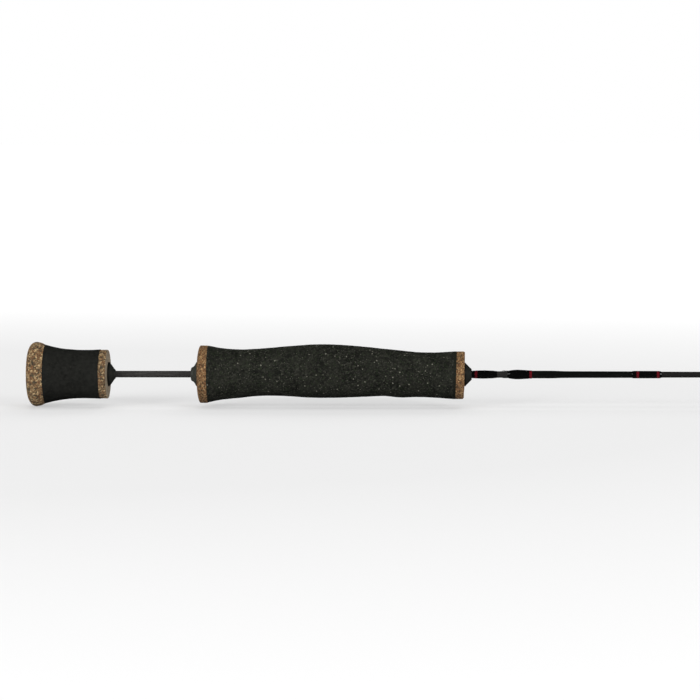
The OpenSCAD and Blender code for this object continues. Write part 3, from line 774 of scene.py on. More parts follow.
class Finish:
    """A material with one Principled shader, and short ways to feed it."""

    def __init__(self, name, **constants):
        self.material = bpy.data.materials.new(name)
        self.material.use_nodes = True
        self.tree = self.material.node_tree
        self.tree.nodes.clear()
        out = self.tree.nodes.new("ShaderNodeOutputMaterial")
        self.shader = self.tree.nodes.new("ShaderNodeBsdfPrincipled")
        self.tree.links.new(self.shader.outputs[0], out.inputs["Surface"])
        self.where = self.tree.nodes.new("ShaderNodeTexCoord").outputs["Object"]
        set_inputs(self.shader, constants)

    def feed(self, label, socket):
        """Links an output socket to one of the shader's inputs."""
        self.tree.links.new(socket, self.shader.inputs[label])

    def shared(self, name, **values):
        """Places a shared group with its own values, and gives its outputs."""
        node = self.tree.nodes.new("ShaderNodeGroup")
        node.node_tree = bpy.data.node_groups.get(name) or GROUPS[name]()
        self.tree.links.new(self.where, node.inputs["Vector"])
        set_inputs(node, values)
        return node.outputs

    def over(self, colour, mask, strength, other):
        """A colour with another laid over it, by a mask and a strength."""
        return blended(self.tree, maths(self.tree, "MULTIPLY", mask, strength), colour, other)

    def bump(self, height, distance, strength):
        """Fine relief of a height in metres."""
        node = self.tree.nodes.new("ShaderNodeBump")
        set_inputs(node, {"distance": distance, "strength": strength})
        self.tree.links.new(height, node.inputs["Height"])
        self.feed("Normal", node.outputs[0])

    def rough(self, value, low, high):
        """Roughness from low to high, by a value from 0 to 1."""
        node = self.tree.nodes.new("ShaderNodeMapRange")
        set_inputs(node, {"to_min": low, "to_max": high})
        self.tree.links.new(value, node.inputs["Value"])
        self.feed("Roughness", node.outputs["Result"])

    def coat(self, rub, loss, weight):
        """Clear coat of a weight that rubbing has thinned."""
        self.feed("Coat Weight", maths(self.tree, "MULTIPLY_ADD", rub, -loss, weight))

    def value(self, name):
        """A value that the mesh carries."""
        node = self.tree.nodes.new("ShaderNodeAttribute")
        node.attribute_name = name
        return node.outputs["Fac"]


def cork_finish(name, size, bark_share, shift, face=False, calm=0.0, tint=(1, 1, 1, 1)):
    """Burl cork. Calm draws the granules' colours together, and face greys the end face: partly sanded cork,
    partly painted shade.
    """
    s = bpy.context.scene.rod_cork
    f = Finish(name, roughness=0.8, specular_ior_level=0.28)
    grains = f.shared("Cork Granules", granule_size=size, bark_share=bark_share, shift=shift,
                      light=s.light, middle=s.middle, warm=s.warm, bark=s.bark)
    colour = grains["Colour"]
    if calm:
        colour = blended(f.tree, calm, colour, s.middle)
    if face:
        # The end face is greyed: partly sanded cork, partly painted shade
        colour = f.over(colour, f.value("face"), 0.82, s.face)
    marks = f.shared("Handling Marks", mark_size=0.007)
    colour = f.over(colour, marks["Smudge"], 0.16, s.bark)
    # Painted shade: sunken pits, seams and creases are darkened towards the bark colour
    colour = f.over(colour, f.value("pit"), 0.8, s.bark)
    f.feed("Base Color", blended(f.tree, 1.0, colour, tint, "MULTIPLY"))
    f.rough(grains["Border"], 0.68, 0.92)
    f.bump(grains["Height"], 0.00012, 0.9)
    return f.material


def foam_finish():
    """Dense black foam, slightly mottled and dusty."""
    s = bpy.context.scene.rod_grip
    f = Finish("knob_foam", specular_ior_level=0.1)
    grain = f.shared("Fine Grain", grain_size=0.00032, mottle_size=0.0045)
    marks = f.shared("Handling Marks", mark_size=0.009)
    paler = toned(s.foam, 2.9)
    coarse = f.shared("Fine Grain", grain_size=0.0016, mottle_size=0.0019)
    colour = f.over(s.foam, grain["Mottle"], 0.35, paler)
    colour = f.over(colour, coarse["Shade"], 0.55, paler)
    dusty = f.shared("Flecks", spacing=0.0008, share=0.07, reach=0.34)
    f.feed("Base Color", f.over(colour, dusty["Mask"], 0.6, s.granulate_pale))
    f.rough(marks["Smudge"], 0.72, 0.9)
    f.bump(grain["Height"], 0.00005, 0.6)
    return f.material


def granulate_finish():
    """Pressed rubber and cork granulate: two sizes of grain, greenish and dark ones, and light flecks."""
    s = bpy.context.scene.rod_grip
    f = Finish("foregrip_granulate", specular_ior_level=0.1)
    tree = f.tree
    bent = wobbled(tree, f.where, 900.0, 0.0009)
    coarse = channels(tree, cells_at(tree, bent, 1500.0).outputs["Color"])
    fine = channels(tree, cells_at(tree, bent, 2900.0).outputs["Color"])
    grain = f.shared("Fine Grain", grain_size=0.00035, mottle_size=0.008)
    colour = blended(tree, ramp(tree, coarse[0], 0.5, 0.95), s.granulate, s.granulate_pale)
    green = tuple(c * k for c, k in zip(s.granulate_pale[:3], (0.55, 0.85, 0.45))) + (1,)
    dark = toned(s.granulate, 0.35)
    for mask, strength, other in (
        (ramp(tree, coarse[1], 0.7, 0.9), 0.6, green),
        (ramp(tree, fine[0], 0.62, 0.95), 0.75, dark),
        (ramp(tree, fine[1], 0.72, 0.98), 0.45, s.granulate_pale),
        (grain["Mottle"], 0.35, s.granulate_pale),
    ):
        colour = f.over(colour, mask, strength, other)
    flecks = f.shared("Flecks", spacing=0.00115, share=s.fleck_share, reach=0.38)
    small = f.shared("Flecks", spacing=0.0006, share=1.6 * s.fleck_share, reach=0.4)
    mask = maths(tree, "MAXIMUM", flecks["Mask"], maths(tree, "MULTIPLY", small["Mask"], 0.6))
    colour = blended(tree, mask, colour, s.fleck)
    # Painted shade: sunken grains and seams are darkened towards the dark granulate
    f.feed("Base Color", f.over(colour, f.value("pit"), 0.7, dark))
    f.rough(grain["Mottle"], 0.74, 0.9)
    f.bump(grain["Height"], 0.00008, 0.8)
    return f.material


# The blank's colour darkens towards the front between these two places along the rod, in metres
DARKENS_TOWARDS_FRONT = (0.190, 0.262)


def carbon_finish():
    """Carbon blank with lengthwise streaks and a spiral of tape marks."""
    s = bpy.context.scene.rod_blank
    f = Finish("sanded_carbon", specular_ior_level=0.22)
    fibre = f.shared("Carbon Fibre", tape_pitch=s.tape_pitch, streak_size=0.00022)
    marks = f.shared("Handling Marks", mark_size=0.01)
    darker = toned(s.carbon, 0.6)
    colour = blended(f.tree, fibre["Shade"], darker, toned(s.carbon, 1.7))
    colour = f.over(colour, fibre["Tape"], 0.4, darker)
    # Darker towards the front, over the span above
    along = ramp(f.tree, channels(f.tree, f.where)[0], *DARKENS_TOWARDS_FRONT)
    f.feed("Base Color", blended(f.tree, along, colour, toned(s.carbon, 0.35)))
    f.rough(marks["Smudge"], 0.40, 0.52)
    f.bump(fibre["Height"], 0.00001, 0.7)
    return f.material


def coat_finish():
    """Gloss black coat over the blank."""
    s = bpy.context.scene.rod_blank
    f = Finish("gloss_coat", specular_ior_level=0.15, coat_roughness=0.12)
    marks = f.shared("Handling Marks", mark_size=0.007)
    fibre = f.shared("Carbon Fibre", tape_pitch=0.0021, streak_size=0.00022)
    f.feed("Base Color", blended(f.tree, fibre["Shade"], s.coat, toned(s.coat, 2.2)))
    f.rough(marks["Smudge"], 0.28, 0.40)
    f.coat(marks["Rub"], 0.4, 0.7)
    f.bump(fibre["Height"], 0.000004, 0.5)
    return f.material


def thread_finish(name, colour, metallic):
    """Wound thread under a clear finish."""
    s = bpy.context.scene.rod_thread
    f = Finish(name, metallic=metallic, coat_roughness=0.06, specular_ior_level=0.1)
    lay = f.shared("Thread Lay", pitch=s.pitch)
    marks = f.shared("Handling Marks", mark_size=0.004)
    f.feed("Base Color", blended(f.tree, lay["Shade"], toned(colour, 0.45), toned(colour, 1.35)))
    f.rough(lay["Shade"], 0.30, 0.42)
    f.coat(marks["Rub"], 0.3, 1.0)
    f.bump(lay["Height"], 0.000004, 0.4)
    return f.material


def check_finish(name, paleness):
    """Matte turned metal, worn at its edges, with painted shade that darkens its outer rim almost to black.
    A paleness over 1 paints light over the whole check.
    """
    s = bpy.context.scene.rod_metal
    f = Finish(name, specular_ior_level=0.5)
    marks = f.shared("Tool Marks", line_size=0.00012)
    rubs = f.shared("Handling Marks", mark_size=0.003)
    # A paleness over 1 paints light into the whole check's colour
    base = toned(s.check, paleness)
    colour = blended(f.tree, marks["Shade"], base, toned(base, 1.5))
    rub = maths(f.tree, "MULTIPLY_ADD", rubs["Rub"], 0.6, 0.2)
    colour = f.over(colour, f.value("edge"), rub, toned(s.check, 3.2))
    # Painted shade: the outer rim is darkened almost to black, for the shade on the rim wall
    f.feed("Base Color", f.over(colour, f.value("rim"), 0.8, (0.0015, 0.0015, 0.0015, 1)))
    f.rough(marks["Shade"], 0.42, 0.58)
    f.bump(marks["Height"], 0.000006, 0.6)
    return f.material


def steel_finish():
    """Satin steel of the guides and the keeper."""
    s = bpy.context.scene.rod_metal
    f = Finish("satin_steel", metallic=0.8)
    marks = f.shared("Tool Marks", line_size=0.00008)
    rubs = f.shared("Handling Marks", mark_size=0.002)
    f.feed("Base Color", blended(f.tree, rubs["Smudge"], s.steel, toned(s.steel, 0.7)))
    f.rough(rubs["Smudge"], 0.22, 0.36)
    f.bump(marks["Height"], 0.000003, 0.4)
    return f.material


def ceramic_finish():
    """Polished ring inserts."""
    s = bpy.context.scene.rod_metal
    f = Finish("polished_insert", specular_ior_level=0.6)
    grain = f.shared("Fine Grain", grain_size=0.00008, mottle_size=0.0008)
    f.feed("Base Color", blended(f.tree, grain["Mottle"], s.ceramic, toned(s.ceramic, 1.4)))
    f.rough(grain["Mottle"], 0.08, 0.16)
    f.bump(grain["Height"], 0.000001, 0.4)
    return f.material


def arbor_finish():
    """Rough filler under the grips."""
    s = bpy.context.scene.rod_metal
    f = Finish("arbor_foam", roughness=0.9)
    grain = f.shared("Fine Grain", grain_size=0.0003, mottle_size=0.003)
    f.feed("Base Color", blended(f.tree, grain["Shade"], toned(s.arbor, 0.6), s.arbor))
    f.rough(grain["Mottle"], 0.82, 0.95)
    f.bump(grain["Height"], 0.00008, 0.7)
    return f.material


def shim_finish():
    """Dark rubber shim."""
    f = Finish("rubber_shim", specular_ior_level=0.3)
    grain = f.shared("Fine Grain", grain_size=0.0003, mottle_size=0.003)
    dark, pale = (0.004, 0.0045, 0.003, 1), (0.012, 0.013, 0.008, 1)
    f.feed("Base Color", blended(f.tree, grain["Shade"], dark, pale))
    f.rough(grain["Mottle"], 0.7, 0.88)
    f.bump(grain["Height"], 0.00005, 0.6)
    return f.material


FINISHES = {
    "foam": foam_finish,
    "granulate": granulate_finish,
    "carbon": carbon_finish,
    "coat": coat_finish,
    "black thread": lambda: thread_finish("black_thread", bpy.context.scene.rod_thread.black, 0.0),
    "red thread": lambda: thread_finish("red_thread", bpy.context.scene.rod_thread.red, 0.25),
    "check": lambda: check_finish("matte_check", 1.0),
    # Painted light: a 2.6 times paler copy of the check finish, for the rear check that faces the light
    "rear check painted lit": lambda: check_finish("satin_check", 2.6),
    "steel": steel_finish,
    "ceramic": ceramic_finish,
    "arbor": arbor_finish,
    "shim": shim_finish,
}
made_finishes = {}


def finish_of(name):
    """The material of a finish, made when a piece first asks for it."""
    if name not in made_finishes:
        made_finishes[name] = FINISHES[name]()
    return made_finishes[name]


# ---- Cork, foam and granulate ----

# The foregrip's front end isn't quite square to the rod
LEAN = math.radians(1.5)


def leaning(rows, centre_z):
    """Front rings whose rim leans forward at the top, with the seat in the middle kept flat."""
    y, z = rows[..., 1], rows[..., 2] - centre_z
    rim = fade(np.hypot(y, z), CHECK_SEAT_R, CHECK_SEAT_R + 3)
    rows[..., 0] += math.tan(LEAN) * z * rim
    return rows


def cork_piece(name, outline, skin, stands_for, finish, size, sides, seed, rise=0.0, face=None):
    """Turned cork with real granules and pits in its skin. One that is raised or lowered also leans."""
    depth = bpy.context.scene.rod_cork.pit_depth / MM
    rows, normals = turned_rows(outline, sides, rise)
    rows, pits = cork_relief(rows, normals, all_round(skin, sides), size / MM, depth, seed)
    if rise:
        rows = leaning(rows, rise)
    face = np.zeros(len(outline)) if face is None else face
    # The pit value carries painted shade in the cork's hollows into the finish
    mesh = surface(name, rows, values={"pit": pits, "face": all_round(face, sides)})
    place(name, mesh, finish, stands_for, 60)


def build_butt_cap():
    """Domed end cork of the knob."""
    s = bpy.context.scene.rod_cork
    g = bpy.context.scene.rod_grip
    top = reach("knob_end_cork")[1].z
    length = end_of("knob_end_cork")
    flat, edge, joint = 11.0, 4.0, g.knob_waist / MM + KNOB_FLARE
    outer = [[0, 0.02], [0, flat]]
    outer += quarter(edge, flat, edge, top - flat, 180, 90, 26)
    outer += curve([[0, top], [2.2, top - 0.42], [length - edge, joint]], edge, 18)[1:]
    outer = finer(outer, CORK_STEP)
    blank_end = BLANK_STATIONS[0][0]
    bore = [[length, ARBOR_R], [blank_end, ARBOR_R], [blank_end, 0.02]]
    outline = ring_loop(outer, bore)
    skin = np.concatenate([np.ones(len(outer)), np.zeros(len(bore))])
    skin *= fade(length - outline[:, 0], 0.0, 0.25)
    cork_piece("butt_cap_cork", outline, skin, ["knob_end_cork"],
               cork_finish("knob_cork", s.knob_granule, bark_share=0.17, shift=0.0),
               size=s.knob_granule * 1.15, sides=384, seed=bpy.context.scene.rod_stage.seed)


def build_knob():
    """Foam body, front cork ring and winding check of the knob."""
    s = bpy.context.scene.rod_cork
    g = bpy.context.scene.rod_grip
    waist = g.knob_waist / MM
    x0, x1 = start_of("knob_body"), end_of("knob_body")
    span = x1 - x0
    flare = [[0, waist + KNOB_FLARE], [0.16 * span, waist + 1.45], [0.36 * span, waist + 0.52],
             [0.62 * span, waist], [0.82 * span, waist], [span, waist + 0.2]]
    outer = finer([[x0, ARBOR_R]] + curve(flare, x0, 96) + [[x1, ARBOR_R]], 0.4)
    rows, normals = turned_rows(outer, 240)
    points = rows.reshape(-1, 3)
    skin = fade(points[:, 0], x0, x0 + 0.5) * fade(-points[:, 0], -x1, -x1 + 0.5)
    skin *= np.hypot(points[:, 1], points[:, 2]) > waist - 1
    lumps = unevenness(points, (0.05, 5.0, 2), (0.018, 0.9, 3))
    points = points + normals.reshape(-1, 3) * (np.minimum(lumps, 0.03) * skin)[:, None]
    mesh = surface("knob_foam_body", points.reshape(rows.shape))
    place("knob_foam_body", mesh, finish_of("foam"), ["knob_body"])

    r = waist + 0.05
    x0, x1, edge = start_of("knob_front_cork"), end_of("knob_front_cork"), 0.45
    outer = finer([[x0, ARBOR_R], [x0, r]] + quarter(x1 - edge, r - edge, edge, edge, 90, 0, 8)
                  + [[x1, ARBOR_R]], CORK_STEP)
    skin = (outer[:, 1] > CHECK_SEAT_R) * fade(outer[:, 0], x0, x0 + 0.2)
    # Mask of the end face, which the finish greys: partly sanded cork, partly painted shade
    face = fade(outer[:, 0], x1 - 0.35, x1 - 0.1)
    cork_piece("knob_front_ring", outer, skin * (1 - 0.75 * face), ["knob_front_cork"],
               cork_finish("knob_ring_cork", s.knob_granule * 0.8, bark_share=0.19, shift=0.31, face=True,
                           tint=(0.90, 0.90, 0.92, 1)),
               size=s.knob_granule, sides=300, seed=5, face=face)

    x0, x1 = start_of("knob_check"), end_of("knob_check")
    cone = [[0, 6.05], [1.25, 4.5], [1.95, 3.45], [2.6, 2.6], [3.1, 2.1]]
    outer = [[x0, CHECK_SEAT_R - 0.05], [x0 + 0.05, CHECK_SEAT_R], [x0 + 0.45, CHECK_SEAT_R]]
    outer += curve(cone, x0 + 0.55, 30)
    build_check("knob_winding_check", outer, x0, x1, ["knob_check"])


def build_check(name, outer, x0, x1, stands_for):
    """Turned winding check with a bore that fits the blank."""
    outer = finer(outer, CHECK_STEP)
    bore = blank_r(x1) + CLEAR
    outline = ring_loop(outer, [[x1, bore + 0.06], [x1 - 0.06, bore], [x0, bore]])
    tilt = np.gradient(np.unwrap(np.arctan2(np.gradient(outline[:, 1]), np.gradient(outline[:, 0]))))
    edge = np.clip(np.abs(tilt) * 1.5, 0, 1) * (outline[:, 1] > bore + 0.1)
    # The rim mask, from 5.3 to 5.75 mm out, carries painted shade on the check's outer rim
    check_piece(name, outline, edge, fade(outline[:, 1], 5.3, 5.75), "check", stands_for)


def check_piece(name, outline, edge, rim, finish, stands_for):
    """Turned winding check. Edge says where it is worn, and rim where painted shade darkens its outer rim.
    """
    rows, _ = turned_rows(outline, CHECK_SIDES)
    mesh = surface(name, rows, values={
        "edge": all_round(edge * (1 - rim), CHECK_SIDES), "rim": all_round(rim, CHECK_SIDES)})
    place(name, mesh, finish_of(finish), stands_for, 50)


# Foregrip body: share of its length, radius, and how far its centre is raised
GRIP_STATIONS = [
    [0, 14.2, 0.1], [0.055, 12.95, 0.15], [0.13, 12.15, 0.3], [0.21, 11.85, 1], [0.31, 12.4, 1.5],
    [0.42, 13.3, 1.6], [0.51, 13.35, 1.6], [0.63, 12.6, 1.35], [0.715, 11.85, 1], [0.79, 11.75, 0.2],
    [0.85, 11.25, -0.1], [0.93, 11.35, -0.35], [1, 11.85, -0.4],
]


# Grains of the foregrip: their size, the depth of a pit, and the number over which one has fallen out
GRAIN_SIZE, GRAIN_PIT, LOST_GRAINS = 0.95, 0.11, 0.84


def build_grip_body():
    """Shaped granulate body of the foregrip."""
    x0, x1 = start_of("grip_body"), end_of("grip_body")
    count = 320
    share = np.linspace(0, 1, count)
    x = x0 + (x1 - x0) * share
    r = smooth(GRIP_STATIONS, share, 1)
    rise = smooth(GRIP_STATIONS, share, 2)
    outline = ring_loop(np.stack([x, r], axis=1), [[x1, ARBOR_R], [x0, ARBOR_R]])
    rise = np.append(rise, [0, 0])
    rows, normals = turned_rows(outline, 300, rise)
    normals[0] = normals[1]
    normals[count - 1] = normals[count - 2]
    points = rows.reshape(-1, 3)
    where = np.zeros(rows.shape[:2])
    where[:count] = (fade(share, 0, 0.004) * fade(1 - share, 0, 0.004))[:, None]
    where = where.ravel()
    gap, own = granules(points, GRAIN_SIZE, 7)
    seams = 0.4 * (1 - fade(gap, 0, 0.1))
    pit = np.clip((own > LOST_GRAINS) * fade(gap, 0.0, 0.25) + seams, 0, 1) * where
    lumps = unevenness(points, (0.05, 6.0, 8), (0.03, 0.8, 9))
    offset = np.minimum(lumps, 0.05) * where - GRAIN_PIT * pit
    points = points + normals.reshape(-1, 3) * offset[:, None]
    rows = points.reshape(rows.shape)
    front = fade(share, 0.94, 1.0)
    y, z = rows[:count, :, 1], rows[:count, :, 2]
    rows[:count, :, 0] += math.tan(LEAN) * z * front[:, None] * (np.hypot(y, z) > CHECK_SEAT_R)
    # The pit value carries painted shade in the grip's hollows into the finish
    mesh = surface("foregrip_body", rows, values={"pit": pit})
    place("foregrip_body", mesh, finish_of("granulate"), ["grip_body"], 70)


def build_grip_ends():
    """Rear cork ring, dark shim, front cork ring and both winding checks of the foregrip."""
    s = bpy.context.scene.rod_cork
    x0, x1 = start_of("grip_rear_cork"), end_of("grip_rear_cork")
    rim, dome, joint = 14.4, 1.6, GRIP_STATIONS[0][1]
    outer = [[x0, ARBOR_R], [x0, CHECK_SEAT_R]]
    outer += quarter(x0 + dome, CHECK_SEAT_R, dome, rim - CHECK_SEAT_R, 180, 90, 40)[1:]
    outer += [[x1 - 0.6, rim], [x1, joint]]
    outer = finer(outer + [[x1, ARBOR_R]], CORK_STEP)
    skin = (outer[:, 1] > CHECK_SEAT_R) * fade(x1 - outer[:, 0], 0.0, 0.2)
    cork = cork_finish("ring_cork", s.ring_granule, bark_share=0.10, shift=0.57, calm=0.12,
                       tint=(0.84, 0.74, 0.66, 1))
    cork_piece("foregrip_rear_ring", outer, skin, ["grip_rear_cork"], cork,
               size=s.ring_granule * 1.1, sides=340, seed=11)

    drop, edge, r = GRIP_STATIONS[-1][2], 0.9, 11.9
    x0, x1 = start_of("grip_front_cork"), end_of("grip_front_cork")
    outer = finer([[x0, ARBOR_R + 1], [x0, r]] + quarter(x1 - edge, r - edge, edge, edge, 90, 0, 12)
                  + [[x1, ARBOR_R + 1]], CORK_STEP)
    skin = (outer[:, 1] > CHECK_SEAT_R) * fade(outer[:, 0], x0, x0 + 0.2)
    cork_piece("foregrip_front_ring", outer, skin, ["grip_front_cork"], cork,
               size=s.ring_granule * 1.1, sides=300, seed=13, rise=drop)

    x0, x1 = start_of("grip_shim"), end_of("grip_shim")
    outer = finer([[x0, ARBOR_R + 1], [x0, r - 0.05], [x0 + 0.08, r], [x1 - 0.08, r], [x1, r - 0.05],
                   [x1, ARBOR_R + 1]], 0.2)
    rows, _ = turned_rows(outer, 220, drop)
    rim_noise = unevenness(rows.reshape(-1, 3), (0.03, 1.0, 15)).reshape(rows.shape[:2])
    rows[..., 1] *= 1 + rim_noise / r
    mesh = surface("foregrip_shim", leaning(rows, drop))
    place("foregrip_shim", mesh, finish_of("shim"), ["grip_shim"])

    x0, x1 = start_of("grip_rear_check"), end_of("grip_rear_check")
    bell = [[0, 2.5], [0.12, 3], [0.5, 3.4], [1.1, 3.7], [1.7, 4.35], [2.3, 5.3], [2.7, 6.05]]
    seat = x1 + 0.05
    outer = curve(bell, x0, 40) + [[x1 - 0.45, CHECK_SEAT_R], [seat - 0.05, CHECK_SEAT_R]]
    outer = finer(outer, CHECK_STEP)
    bore = blank_r(x0) + CLEAR
    inner = [[seat, CHECK_SEAT_R - 0.1], [seat, bore], [x0, bore]]
    outline = ring_loop([[x0, bore + 0.1]] + outer.tolist(), inner)
    edge = np.zeros(len(outline))
    edge[1:4] = 0.8
    edge[len(outer) - 3:len(outer) + 1] = 1.0
    # The rim mask carries painted shade on the rear check's outer rim by its seat
    rim = fade(outline[:, 1], 5.7, 6.05) * (outline[:, 0] > x1 - 0.3)
    # The rear check takes the painted-lit copy of the check finish
    check_piece("foregrip_rear_check", outline, edge, rim, "rear check painted lit", ["grip_rear_check"])

    x0, x1 = start_of("grip_front_check"), end_of("grip_front_check")
    cone = [[0, 5.9], [0.3, 5.5], [1.3, 4.5], [2.3, 3.45], [2.85, 2.95]]
    outer = [[x0 - 0.1, 5.9], [x0 + 0.3, 5.95]] + curve(cone, x0 + 0.45, 30) + [[x1, 2.6]]
    build_check("foregrip_front_check", outer, x0 - 0.1, x1, ["grip_front_check"])


# ---- Blank and coated section ----

def build_blank():
    """Tapered carbon blank with the faint spiral of its tape, and the coated section."""
    s = bpy.context.scene.rod_blank
    x0, x1 = start_of("blank"), end_of("blank")
    pitch, relief = s.tape_pitch / MM, s.tape_relief / MM
    x = np.append(np.arange(x0, x1, pitch / 5), x1)
    sides = 40
    rows, _ = turned_rows(np.stack([x, blank_r(x)], axis=1), sides)
    around = np.linspace(0, 1, sides, endpoint=False)
    phase = (x[:, None] / pitch + around) % 1.0
    groove = relief * fade(np.abs(phase - 0.5), 0.38, 0.5)
    rows[..., 1:] *= (1 - groove / blank_r(x)[:, None])[..., None]
    mesh = surface("carbon_blank", rows, joined=False)
    place("carbon_blank", mesh, finish_of("carbon"), ["blank"], 50)

    x0, x1 = start_of("label_coat"), end_of("label_coat")
    coat = [[0, 1.9], [0.2, 1.88], [0.33, 1.7], [0.7, 1.65], [1, 1.61]]
    share = np.linspace(0, 1, 200)
    x = x0 + (x1 - x0) * share
    outer = np.stack([x, smooth(coat, share)], axis=1)
    outline = ring_loop(outer, [[x1, blank_r(x1) - 0.02], [x0, blank_r(x0) - 0.02]])
    rows, normals = turned_rows(outline, 72)
    points = rows.reshape(-1, 3)
    sag = unevenness(points, (0.012, 4.0, 21))
    sag.reshape(rows.shape[:2])[len(share):] = 0
    points = points + normals.reshape(-1, 3) * sag[:, None]
    mesh = surface("coated_section", points.reshape(rows.shape))
    place("coated_section", mesh, finish_of("coat"), ["label_coat"], 50)


# ---- Thread ----

def hull_radius(body_r, foot_r, lift, around):
    """Outline of thread pulled round the blank and a foot on its +Y side, as a radius for each angle."""
    lean = np.linspace(0, 2 * math.pi, 240, endpoint=False)
    support = np.maximum(body_r, lift * np.sin(lean) + foot_r)
    facing = np.cos(lean[None, :] - around[:, None])
    facing[facing < 0.15] = np.nan
    return np.nanmin(support[None, :] / facing, axis=1)


# Points around a band of thread and along one turn, and how far its ends are tucked in
WOUND_SIDES, TURN_POINTS, END_TUCK = 40, 6, 0.05


def wound(name, x0, x1, radius):
    """Band of thread with real turns, from x0 to x1. Radius gives a radius for each place and angle."""
    s = bpy.context.scene.rod_thread
    pitch, ridge = s.pitch / MM, s.ridge / MM
    around = np.linspace(0, 2 * math.pi, WOUND_SIDES, endpoint=False)
    x = np.linspace(x0, x1, max(4, int(round((x1 - x0) / pitch * TURN_POINTS)) + 1))
    r = np.stack([radius(v, around) for v in x])
    phase = x[:, None] / pitch + around / (2 * math.pi)
    r = r + ridge * (np.abs(np.sin(math.pi * phase)) - 0.7)
    r[0] -= END_TUCK
    r[-1] -= END_TUCK
    sin, cos = np.sin(around), np.cos(around)

    def row(v, rr):
        """Points round the rod at v, at the radii rr."""
        return np.stack([np.full(WOUND_SIDES, v), rr * sin, rr * cos], axis=-1)

    rows = [row(v, rr) for v, rr in zip(x, r)]
    rows += [row(v, np.full(WOUND_SIDES, blank_r(v) - UNDER)) for v in (x1, x0)]
    return surface(name, np.array(rows))


def profile(stations, start):
    """Round section whose radius follows stations."""
    return lambda x, around: np.full(len(around), float(smooth(stations, x - start)))


def bead(name, x0, x1, r0, r1, swell):
    """Smooth end of the clear finish, from radius r0 at x0 down to r1 at x1."""
    share = np.linspace(0, 1, 18)
    x = x0 + (x1 - x0) * share
    r = r0 + (r1 - r0) * (1 - np.cos(math.pi * share)) / 2 + swell * np.sin(math.pi * share) ** 2
    outline = np.stack([x, r], axis=1)
    inner = [[v, blank_r(v) - UNDER] for v in (x1, x0)]
    if x1 < x0:
        outline, inner = outline[::-1], inner[::-1]
    rows, _ = turned_rows(ring_loop(outline, inner), 64)
    return surface(name, rows)


# Keeper wraps: place from the wrap's rear end, and radius
REAR_WRAP = [[0, 1.86], [1.8, 1.96], [4, 2.04], [6.3, 2.08], [8.5, 2], [10.6, 1.92], [12, 1.74]]
FRONT_WRAP = [[0, 1.86], [1, 2.1], [4.2, 2.4], [7.4, 2.26], [10, 2.1], [11.65, 2.02]]


def thread_piece(name, meshes, colour, stands_for):
    """One piece of black or red thread from its wound bands and beads."""
    mesh = joined_mesh(name, meshes) if len(meshes) > 1 else meshes[0]
    place(name, mesh, finish_of(colour + " thread"), stands_for, 60)


def build_keeper_wraps():
    """Thread wraps and red trims on both sides of the hook keeper."""
    x0, x1 = start_of("keeper_rear_wrap"), end_of("keeper_rear_wrap")
    t0, t1 = start_of("keeper_rear_trim"), end_of("keeper_rear_trim")
    section = profile(REAR_WRAP, x0)
    thread_piece("keeper_rear_thread", [
        wound("a", x0, t0, section), wound("b", t1, x1, section),
        bead("c", x1 - 0.05, x1 + 0.7, 1.78, blank_r(x1 + 0.7) + 0.005, 0.0),
    ], "black", ["keeper_rear_wrap"])
    thread_piece("keeper_rear_red_trim", [wound("a", t0, t1, section)], "red", ["keeper_rear_trim"])
    x0 = start_of("keeper_front_wrap")
    t0, t1 = start_of("keeper_front_trim"), end_of("keeper_front_trim")
    section = profile(FRONT_WRAP, x0)
    thread_piece("keeper_front_thread", [
        wound("a", x0, t0, section), bead("b", x0 + 0.05, x0 - 0.6, 1.84, blank_r(x0) + 0.01, 0.02),
    ], "black", ["keeper_front_wrap"])
    thread_piece("keeper_front_red_trim", [wound("a", t0, t1, section)], "red", ["keeper_front_trim"])


# Thread on the blank, the guide's foot, the thread over it, and the foot's width over the blank's
THREAD, FOOT_THICK, FOOT_COVER, COVER_SHARE = 0.34, 0.45, 0.22, 0.72
RING_WALL, RING_LENGTH, TRIM_INSET, TRIM_LENGTH = 0.82, 1.3, 2.0, 1.25
BAND_WALL, BAND_LENGTH = 0.36, 0.8
TUBE_WALL = 0.3


def ring_place(node):
    """Place of a ring insert along and across the rod, and its outer radius."""
    low, high = reach(node)
    return (*middle_of(node), (high.z - low.z) / 2)


class Guide:
    """Places and sizes of one guide, read from the packed model."""

    def __init__(self, i):
        self.label = f"guide{i + 1}"
        self.x, self.ring_y, self.ring_r = ring_place(self.label + "_ring")
        self.wrap_start = start_of(self.label + "_wrap")
        self.wrap_end = end_of(self.label + "_trim")
        self.foot_back = self.wrap_start + TRIM_INSET + TRIM_LENGTH
        self.end_r = blank_r(self.wrap_end)
        self.top = self.end_r + FOOT_THICK

    def foot_top(self, x):
        """Height of the foot over the rod's axis, thinning out towards the butt."""
        return float(np.interp(x, [self.foot_back - 0.01, self.foot_back, self.foot_back + 3],
                               [self.end_r, self.top - 0.33, self.top]))

    def section(self, x, around):
        """Thread pulled over the blank and the foot."""
        body = blank_r(x) + THREAD
        edge = fade(x, self.foot_back - 1.2, self.foot_back + 1.5)
        foot_r = COVER_SHARE * self.end_r + THREAD
        lift = (self.foot_top(x) + FOOT_COVER - foot_r) * edge
        start = fade(x, self.wrap_start - 0.01, self.wrap_start + 0.9)
        return hull_radius(body - 0.14 * (1 - start), foot_r, max(lift, 0), around)


